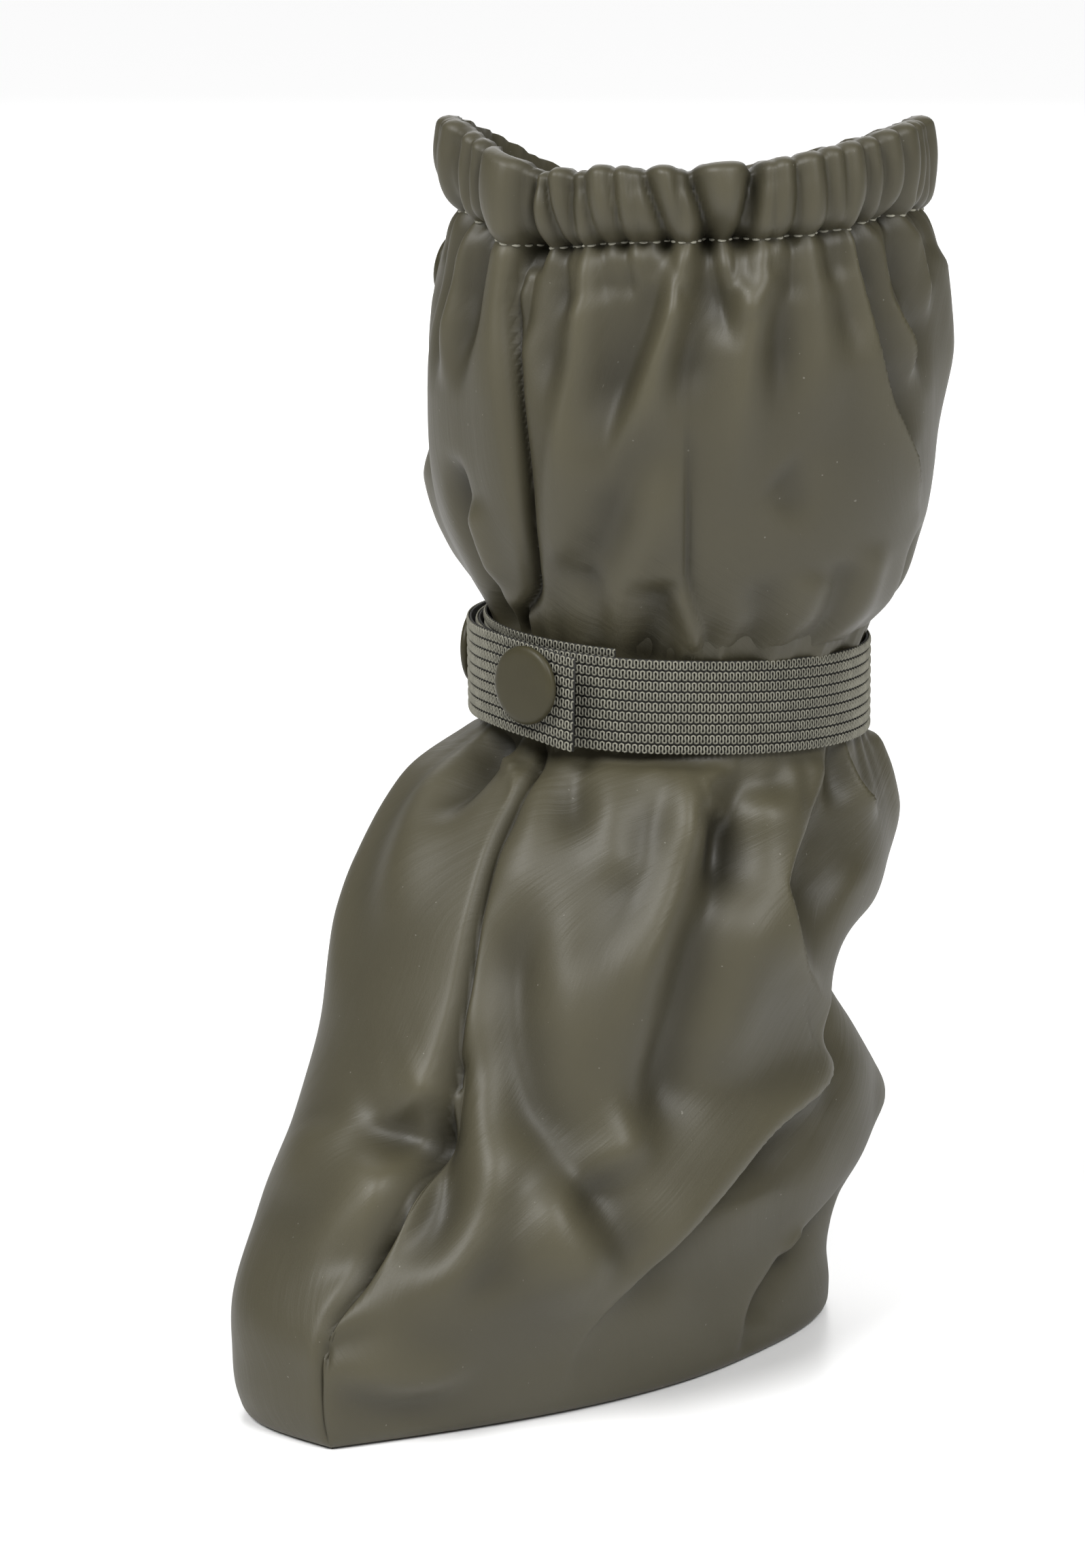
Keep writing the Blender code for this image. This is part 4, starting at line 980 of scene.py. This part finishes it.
class OVERSHOE_OT_bag(bpy.types.Operator):
    """Build the gathered cloth bag with its folds"""

    bl_idname = "overshoe.bag"
    bl_label = "Cloth bag"

    def execute(self, context):
        heights, around, grid, normals, relief, slide, skin = fine_skin()
        turned_in = rounded_edge(heights)
        rows = np.arange(len(heights) - 2, -1, -INNER_ROW_STEP)
        rows = rows if rows[-1] == 0 else np.append(rows, 0)
        depth = wall_depth(heights) - np.where(heights > STITCH_HEIGHT, turned_in, -turned_in)
        lining = lowest_near(relief, INNER_ROW_STEP, INNER_COLUMNS) - depth[:, None]
        inside = (grid + normals * lining[:, :, None] + slide)[rows]
        rings = np.concatenate((skin, inside))
        faces = ring_faces(len(rings), len(around), True)
        cloth = cloth_finish("coated_cloth", context.scene.overshoe_cloth)
        piece = new_piece("bag", rings.reshape(-1, 3), faces, cloth, "coated_cloth", "upper")
        level = np.concatenate((heights, heights[rows]))
        steps = np.diff(grid[:, :, :2], axis=1, prepend=grid[:, -1:, :2])
        girth = np.linalg.norm(steps, axis=2).cumsum(axis=1)
        girth = np.concatenate((girth, girth[rows]))
        # The third value carries the mask for the cloth's painted shade and highlight
        painted_light = np.concatenate((painted_light_mask(relief), np.zeros_like(girth[len(heights):])))
        flat = np.stack((girth, np.broadcast_to(level[:, None], girth.shape), painted_light), axis=-1)
        set_places(piece, flat.reshape(-1, 3))
        return {"FINISHED"}


# The sheet's edge from below, as (inset, height)
SOLE_PROFILE = ((0.0006, 0.0), (0.0, 0.0004), (0.0, 0.0009), (0.0004, 0.0012))
SOLE_COLUMN_STEP = 2


class OVERSHOE_OT_sole(bpy.types.Operator):
    """Build the flat sole sheet"""

    bl_idname = "overshoe.sole"
    bl_label = "Sole sheet"

    def execute(self, context):
        around = column_places()[::SOLE_COLUMN_STEP]
        edge = outline(BOTTOM_HEIGHT, around)
        grid = np.stack([np.column_stack((edge, np.full(len(edge), z))) for z in (0.0, 1.0)])
        inward = -outward(grid)[0]
        rings = []
        for inset, z in SOLE_PROFILE:
            ring = grid[0] + inward * (CLOTH + 2 * GAP + inset)
            ring[:, 2] = z
            rings.append(ring)
        faces = capped_tube(len(rings), len(around))
        points = np.concatenate(rings)
        cloth = cloth_finish("sole_cloth", context.scene.overshoe_cloth)
        piece = new_piece("sole_sheet", points, faces, cloth, "sole_sheet", "sole")
        set_places(piece, points * (1.0, 1.0, 0.0))
        return {"FINISHED"}


# The strap and its backing, as in the solids. Turn counts half turns on from the front seam, offset is how
# far the inner face stands off the bag, and drop how far the band sits below the strap's own level there.
RUN_COLUMNS = ("turn", "offset", "drop")
STRAP_RUN = (
    (-0.420, 0.0024, 0.0),
    (-0.200, 0.0024, 0.0),
    (0.128, 0.0024, 0.0),
    (0.260, 0.0003, 0.0),
    (0.700, 0.0003, 0.0),
    (1.300, 0.0003, 0.0),
    (1.480, 0.0022, 0.0),
    (1.580, 0.0042, 0.0),
    (1.780, 0.0043, -0.0006),
    (1.930, 0.0060, -0.0018),
    (2.006, 0.0071, -0.0016),
    (2.075, 0.0082, -0.0002),
)
BACKING_RUN = (
    (-0.440, 0.0005, 0.0),
    (-0.100, 0.0005, 0.0),
    (0.118, 0.0005, 0.0),
)
BACKING_RAISED = 0.0015
FRONT_CAP_TURN = 2.006
SIDE_CAP_TURN = 1.625
BAND_STEPS = 480
BAND_EASE = 9
BESIDE = 0.004


def eased_column(run, turns, name):
    """One column of a band's run, read at the turns and averaged over a few steps."""
    values = np.interp(turns, column(run, RUN_COLUMNS, "turn"), column(run, RUN_COLUMNS, name))
    padded = np.pad(values, BAND_EASE // 2, mode="edge")
    return np.convolve(padded, np.ones(BAND_EASE) / BAND_EASE, "valid")


def band_sheet(run, middle):
    """A band's course: lengths along it, its low and high edges on the inner face, and the ways out."""
    turns = np.linspace(run[0][0], run[-1][0], BAND_STEPS)
    around = wrapped(turns)
    offset, drop = (eased_column(run, turns, name) for name in ("offset", "drop"))
    sheet = {"turn": turns}
    for edge, height in (("low", middle - STRAP_WIDTH / 2), ("high", middle + STRAP_WIDTH / 2)):
        level = outline(height, around)
        ahead = outline(height, wrapped(around + BESIDE)) - outline(height, wrapped(around - BESIDE))
        away = unit(np.column_stack((ahead[:, 1], -ahead[:, 0], np.zeros(len(turns)))))
        sheet[edge + "_away"] = away
        sheet[edge] = np.column_stack((level, height + lift(height, around) - drop)) + away * offset[:, None]
    sheet["length"] = lengths_along((sheet["low"] + sheet["high"]) / 2)
    return sheet


def on_band(sheet, length, rise, out):
    """Points at lengths along a band, at rises from 0 at its low edge to 1, standing out from its face."""
    low, high, low_away, high_away = (
        read_at(length, sheet["length"], sheet[name]) for name in ("low", "high", "low_away", "high_away")
    )
    share = np.asarray(rise)[..., None]
    away = low_away + (high_away - low_away) * share
    return low + (high - low) * share + away * np.asarray(out)[..., None]


KNIT_ROWS = 9
YARN_SIDES = 4
LOOP_STEPS = 10
LOOP_BULGE = 0.17
LOOP_REACH = 0.38
LOOP_TUCK = 0.00022
CORE_STEPS = 320
CORE_SHARE = 0.52
# Corners of the core's section, as (rise, share of its thickness)
CORE_CORNERS = ((0.02, 0.1), (0.005, 0.5), (0.02, 0.9), (0.98, 0.9), (0.995, 0.5), (0.98, 0.1))
# The core's near-black tone is painted shade in the gaps between the loops
CORE_GAP_SHADE_TONE = 0.08
YARN_TONE = 1.0


def knit_rows(sheet, thickness, settings):
    """Yarn rows of a knitted band: points of four-sided tubes, and their faces."""
    whole = sheet["length"][-1]
    loops = round(whole / settings.pitch)
    t = np.linspace(0.0, 2 * math.pi * loops, loops * LOOP_STEPS + 1)
    length = np.clip(t / t[-1] * whole + LOOP_BULGE * settings.pitch * np.sin(2 * t), 0.0, whole)
    tuck = LOOP_TUCK * (0.5 + 0.5 * np.cos(2 * t))
    points, faces = [], []
    for row in range(KNIT_ROWS):
        rise = (row + 0.5 + LOOP_REACH * np.cos(t)) / KNIT_ROWS
        middle = on_band(sheet, length, rise, thickness - settings.yarn - tuck)
        out = on_band(sheet, length, rise, np.ones(len(t)))
        out = out - on_band(sheet, length, rise, np.zeros(len(t)))
        side, out = tube_ways(middle, out)
        ring = np.stack([middle + settings.yarn * way for way in (out, side, -out, -side)], axis=1)
        start = len(points) * len(t) * YARN_SIDES
        end = start + YARN_SIDES * (len(t) - 1)
        faces += [ring_faces(len(t), YARN_SIDES, False)[:, ::-1] + start]
        faces += [np.array([[start, start + 1, start + 2, start + 3], [end + 3, end + 2, end + 1, end]])]
        points.append(ring.reshape(-1, 3))
    return np.concatenate(points), np.concatenate(faces)


def band_core(sheet, thickness):
    """The dense inside of a band, a slim slab with rounded edges, and its faces."""
    length = np.linspace(0.0, sheet["length"][-1], CORE_STEPS)
    ring = np.stack([
        on_band(sheet, length, np.full(CORE_STEPS, rise), np.full(CORE_STEPS, out * thickness))
        for rise, out in CORE_CORNERS
    ], axis=1)
    return ring.reshape(-1, 3), capped_tube(CORE_STEPS, len(CORE_CORNERS))


def knit_band(name, sheet, thickness, settings, node):
    """A knitted elastic band: yarn loops over a dense core, near black as painted shade in the gaps between
    loops.
    """
    core, core_faces = band_core(sheet, thickness * CORE_SHARE)
    yarn, yarn_faces = knit_rows(sheet, thickness, settings)
    faces = core_faces + [tuple(face) for face in yarn_faces + len(core)]
    # The core's finish is near black, painted shade between the loops
    dark = yarn_finish(name + "_core", settings, CORE_GAP_SHADE_TONE)
    piece = new_piece(name, np.concatenate((core, yarn)), faces, dark, "knit_elastic", node)
    piece.data.materials.append(yarn_finish(name + "_yarn", settings, YARN_TONE))
    which = np.zeros(len(faces), np.int32)
    which[len(core_faces):] = 1
    piece.data.polygons.foreach_set("material_index", which)
    return piece


class OVERSHOE_OT_strap(bpy.types.Operator):
    """Build the knitted strap and the backing under its lap"""

    bl_idname = "overshoe.strap"
    bl_label = "Ankle strap"

    def execute(self, context):
        settings = context.scene.overshoe_knit
        knit_band("strap_knit", band_sheet(STRAP_RUN, STRAP_HEIGHT), STRAP_THICKNESS, settings, "ankle_strap")
        backing = band_sheet(BACKING_RUN, STRAP_HEIGHT + BACKING_RAISED)
        knit_band("backing_knit", backing, BACKING_THICKNESS, settings, "strap_backing")
        return {"FINISHED"}


# Profiles of the press studs in millimetres, as (radius, height) from the axis below to the axis above
TURNED_STEPS = 72
CAP_PROFILE = (
    (0, 0), (7, 0), (7.65, 0.05), (8, 0.3), (8.2, 0.7), (8.25, 1.1), (8.15, 1.45), (7.9, 1.75), (7.5, 1.97),
    (7, 2.1), (6.4, 2.16), (5, 2.22), (2.5, 2.28), (0, 2.3),
)
STUD_PROFILE = (
    (0, 0), (6.9, 0), (7.2, 0.1), (7.3, 0.4), (7.3, 1), (7.2, 1.3), (6.9, 1.4), (6, 1.4), (0, 1.4),
)
STUD_DEPTH = 0.0036
CAP_RAISED = 0.0016
PAIR_PROFILE = (
    (0, 0), (6.9, 0), (7.2, 0.3), (7.2, 1.1), (7, 1.6), (6.6, 2), (6, 2.2), (5.5, 2.2), (5, 2), (4.7, 1.6),
    (4.5, 1), (4.3, 0.8), (0, 0.8),
)
PAIR_STUD_PROFILE = (
    (0, 0.8), (2.1, 0.8), (2.2, 1), (2.2, 1.7), (2, 2.1), (1.6, 2.3), (0.8, 2.4), (0, 2.4),
)
DARK_TONE = 0.6
PAIR_BESIDE = 0.004
STRAP_BESIDE = 0.05


def turned(name, profile, gap, place, axes, material, slot):
    """A turned piece: a profile swept about its axis, standing a gap off the place."""
    angle = 2 * math.pi * np.arange(TURNED_STEPS) / TURNED_STEPS
    circle = np.column_stack((np.cos(angle), np.sin(angle), np.zeros(TURNED_STEPS)))
    heights = [gap + height * MILLI for _, height in profile]
    rings = [circle * radius * MILLI + (0.0, 0.0, z) for (radius, _), z in zip(profile[1:-1], heights[1:-1])]
    points = np.concatenate(([[0.0, 0.0, heights[0]]], *rings, [[0.0, 0.0, heights[-1]]]))
    end = len(points) - 1
    start = end - TURNED_STEPS
    faces = [tuple(face + 1) for face in ring_faces(len(rings), TURNED_STEPS, False)]
    for k in range(TURNED_STEPS):
        after = (k + 1) % TURNED_STEPS
        faces += [(0, 1 + after, 1 + k), (end, start + k, start + after)]
    return new_piece(name, points @ np.array(axes).T + np.array(place), faces, material, slot, name)


def strap_place(turn):
    """A place on the strap: the middle of its outer face there, and the axes along, up and out as columns."""
    sheet = band_sheet(STRAP_RUN, STRAP_HEIGHT)
    turns = (turn - STRAP_BESIDE, turn, turn + STRAP_BESIDE)
    length = np.interp(turns, sheet["turn"], sheet["length"])
    middle = on_band(sheet, length, np.full(3, 0.5), np.full(3, STRAP_THICKNESS))
    edges = on_band(sheet, length[[1, 1]], np.array([0.0, 1.0]), np.full(2, STRAP_THICKNESS))
    along = Vector(middle[2] - middle[0]).normalized()
    up = Vector(edges[1] - edges[0]).normalized()
    out = along.cross(up).normalized()
    return Vector(middle[1]), Matrix((along, out.cross(along), out)).transposed()


class OVERSHOE_OT_snaps(bpy.types.Operator):
    """Build the strap's two caps, the stud behind the front one and the pairing snap"""

    bl_idname = "overshoe.snaps"
    bl_label = "Press studs"

    def execute(self, context):
        settings = context.scene.overshoe_snap
        enamel = enamel_finish("snap_enamel", settings, 1.0)
        dark = enamel_finish("snap_dark", settings, DARK_TONE)
        place, axes = strap_place(FRONT_CAP_TURN)
        place += axes.col[1] * CAP_RAISED
        turned("snap_cap_front", CAP_PROFILE, GAP, place, axes, enamel, "snap_enamel")
        behind = place - axes.col[2] * STUD_DEPTH
        turned("snap_stud_front", STUD_PROFILE, 0.0, behind, axes, enamel, "snap_enamel")
        turned("snap_cap_side", CAP_PROFILE, GAP, *strap_place(SIDE_CAP_TURN), enamel, "snap_enamel")
        heights = [PAIR_HEIGHT + rise for rise in (0, PAIR_BESIDE, -PAIR_BESIDE, 0)]
        spots = skin_points([PAIR_AROUND] * 3 + [PAIR_AROUND + PAIR_BESIDE], heights)
        up = Vector(spots[1] - spots[2]).normalized()
        out = Vector(spots[3] - spots[0]).cross(up).normalized()
        axes = Matrix((up.cross(out), up, out)).transposed()
        turned("pair_snap_ring", PAIR_PROFILE, GAP, Vector(spots[0]), axes, enamel, "snap_enamel")
        turned("pair_snap_stud", PAIR_STUD_PROFILE, 2 * GAP, Vector(spots[0]), axes, dark, "snap_dark")
        return {"FINISHED"}


STITCH_SHARE = 0.70
STITCH_RADIUS = 0.00028
STITCH_PROUD = 0.00022
STITCH_SIDES = 6
# One stitch, as (share of its length, share of its radius, how far it stands proud)
STITCH_SHAPE = (
    (0.0, 0.35, -1.0), (0.12, 0.85, -0.2), (0.3, 1.0, 0.6), (0.5, 1.0, 1.0), (0.7, 1.0, 0.6),
    (0.88, 0.85, -0.2), (1.0, 0.35, -1.0),
)
THREAD_TONE = 1.5


class OVERSHOE_OT_stitches(bpy.types.Operator):
    """Sew the collar's line of stitches"""

    bl_idname = "overshoe.stitches"
    bl_label = "Collar stitches"

    def execute(self, context):
        settings = context.scene.overshoe_knit
        heights, *_, skin = fine_skin()
        row = int(np.abs(heights - STITCH_HEIGHT).argmin())
        course = np.concatenate((skin[row], skin[row, :1]))
        ways = outward(skin)[row]
        ways = np.concatenate((ways, ways[:1]))
        length = lengths_along(course)
        count = round(length[-1] / settings.stitch)
        pitch = length[-1] / count
        points, faces = [], []
        angle = (2 * math.pi * np.arange(STITCH_SIDES) / STITCH_SIDES)[None, :, None]
        shares, widths, prouds = np.array(STITCH_SHAPE).T
        for k in range(count):
            along = (k + shares * STITCH_SHARE) * pitch
            out = read_at(along, length, ways)
            middle = read_at(along, length, course) + out * (prouds * STITCH_PROUD)[:, None]
            side, rise = tube_ways(middle, out)
            radius = STITCH_RADIUS * widths[:, None, None]
            spokes = side[:, None] * np.cos(angle) + rise[:, None] * np.sin(angle)
            start = len(points) * len(STITCH_SHAPE) * STITCH_SIDES
            points.append((middle[:, None] + radius * spokes).reshape(-1, 3))
            faces += capped_tube(len(STITCH_SHAPE), STITCH_SIDES, start)
        thread = yarn_finish("sewing_thread", settings, THREAD_TONE)
        new_piece("collar_stitches", np.concatenate(points), faces, thread, "knit_elastic")
        return {"FINISHED"}


FLOOR_HALF = 40.0
FLOOR_ROUGHNESS = 0.35
FLOOR_CORNERS = ((-1, -1), (1, -1), (1, 1), (-1, 1))
BACK_PLACE = (-0.95, 1.25, 1.10)
BACK_SIZE = 1.6
FILL_PLACE = (1.40, -0.20, 0.80)
FILL_SIZE = 1.0
SUN_ANGLE = math.radians(26)
SUN_TILT = math.radians(42)
SUNS = (("left_light", math.radians(-10), 0.58), ("right_light", math.radians(72), 0.42))
CAMERA_PLACE = Vector((0.687, -0.875, 0.400))
LOOK_AT = Vector((-0.006, 0.008, 0.122))
LENS = 126.0


class OVERSHOE_OT_stage(bpy.types.Operator):
    """Set the floor, the soft light and the camera"""

    bl_idname = "overshoe.stage"
    bl_label = "Studio"

    def execute(self, context):
        settings = context.scene.overshoe_stage
        scene = context.scene
        mesh = bpy.data.meshes.new("floor")
        corners = [(x * FLOOR_HALF, y * FLOOR_HALF, 0.0) for x, y in FLOOR_CORNERS]
        mesh.from_pydata(corners, [], [(0, 1, 2, 3)])
        floor = bpy.data.objects.new("floor", mesh)
        scene.collection.objects.link(floor)
        finish = Finish("pale_floor")
        mesh.materials.append(finish.shade(base_color=scaled(settings.floor), roughness=FLOOR_ROUGHNESS))
        world = bpy.data.worlds.new("white_surround")
        world.use_nodes = True
        surround = world.node_tree.nodes["Background"].inputs
        surround["Color"].default_value = (1.0, 1.0, 1.0, 1.0)
        surround["Strength"].default_value = settings.sky
        scene.world = world
        for name, place, size, power in (
            ("back_light", BACK_PLACE, BACK_SIZE, settings.back),
            ("fill_light", FILL_PLACE, FILL_SIZE, settings.fill),
        ):
            light = bpy.data.lights.new(name, "AREA")
            light.shape, light.size, light.energy = "DISK", size, power
            lamp = bpy.data.objects.new(name, light)
            lamp.location = place
            lamp.rotation_euler = (LOOK_AT - Vector(place)).to_track_quat("-Z", "Y").to_euler()
            scene.collection.objects.link(lamp)
        for name, turn, share in SUNS:
            sun = bpy.data.lights.new(name, "SUN")
            sun.energy, sun.angle = settings.sun * share, SUN_ANGLE
            lamp = bpy.data.objects.new(name, sun)
            lamp.rotation_euler = (SUN_TILT, 0.0, turn)
            scene.collection.objects.link(lamp)
        lens = bpy.data.cameras.new("camera")
        lens.lens = LENS
        camera = bpy.data.objects.new("camera", lens)
        camera.location = CAMERA_PLACE
        camera.rotation_euler = (LOOK_AT - CAMERA_PLACE).to_track_quat("-Z", "Y").to_euler()
        scene.collection.objects.link(camera)
        scene.camera = camera
        scene.view_settings.view_transform = "Standard"
        return {"FINISHED"}


class OVERSHOE_PT_panel(bpy.types.Panel):
    """Sizes, colours and build steps of the overshoe"""

    bl_idname = "OVERSHOE_PT_panel"
    bl_label = "Rain overshoe"
    bl_space_type = "VIEW_3D"
    bl_region_type = "UI"
    bl_category = "Overshoe"

    def draw(self, context):
        for group in GROUPS:
            for name in getattr(context.scene, group).bl_rna.properties.keys():
                if name not in ("rna_type", "name"):
                    self.layout.prop(getattr(context.scene, group), name)
        for step in STEPS:
            self.layout.operator(step.bl_idname)


GROUPS = {
    "overshoe_cloth": OvershoeCloth,
    "overshoe_knit": OvershoeKnit,
    "overshoe_snap": OvershoeSnap,
    "overshoe_stage": OvershoeStage,
}
STEPS = (
    OVERSHOE_OT_bag,
    OVERSHOE_OT_stitches,
    OVERSHOE_OT_sole,
    OVERSHOE_OT_strap,
    OVERSHOE_OT_snaps,
    OVERSHOE_OT_stage,
)


def register():
    for kind in (*GROUPS.values(), *STEPS, OVERSHOE_PT_panel):
        bpy.utils.register_class(kind)
    for name, kind in GROUPS.items():
        setattr(bpy.types.Scene, name, PointerProperty(type=kind))


def unregister():
    for name in GROUPS:
        delattr(bpy.types.Scene, name)
    for kind in (OVERSHOE_PT_panel, *reversed(STEPS), *reversed(GROUPS.values())):
        bpy.utils.unregister_class(kind)


def main():
    """Registers the add-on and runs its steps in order."""
    register()
    for step in STEPS:
        group, name = step.bl_idname.split(".")
        getattr(getattr(bpy.ops, group), name)()


if __name__ == "__main__":
    main()
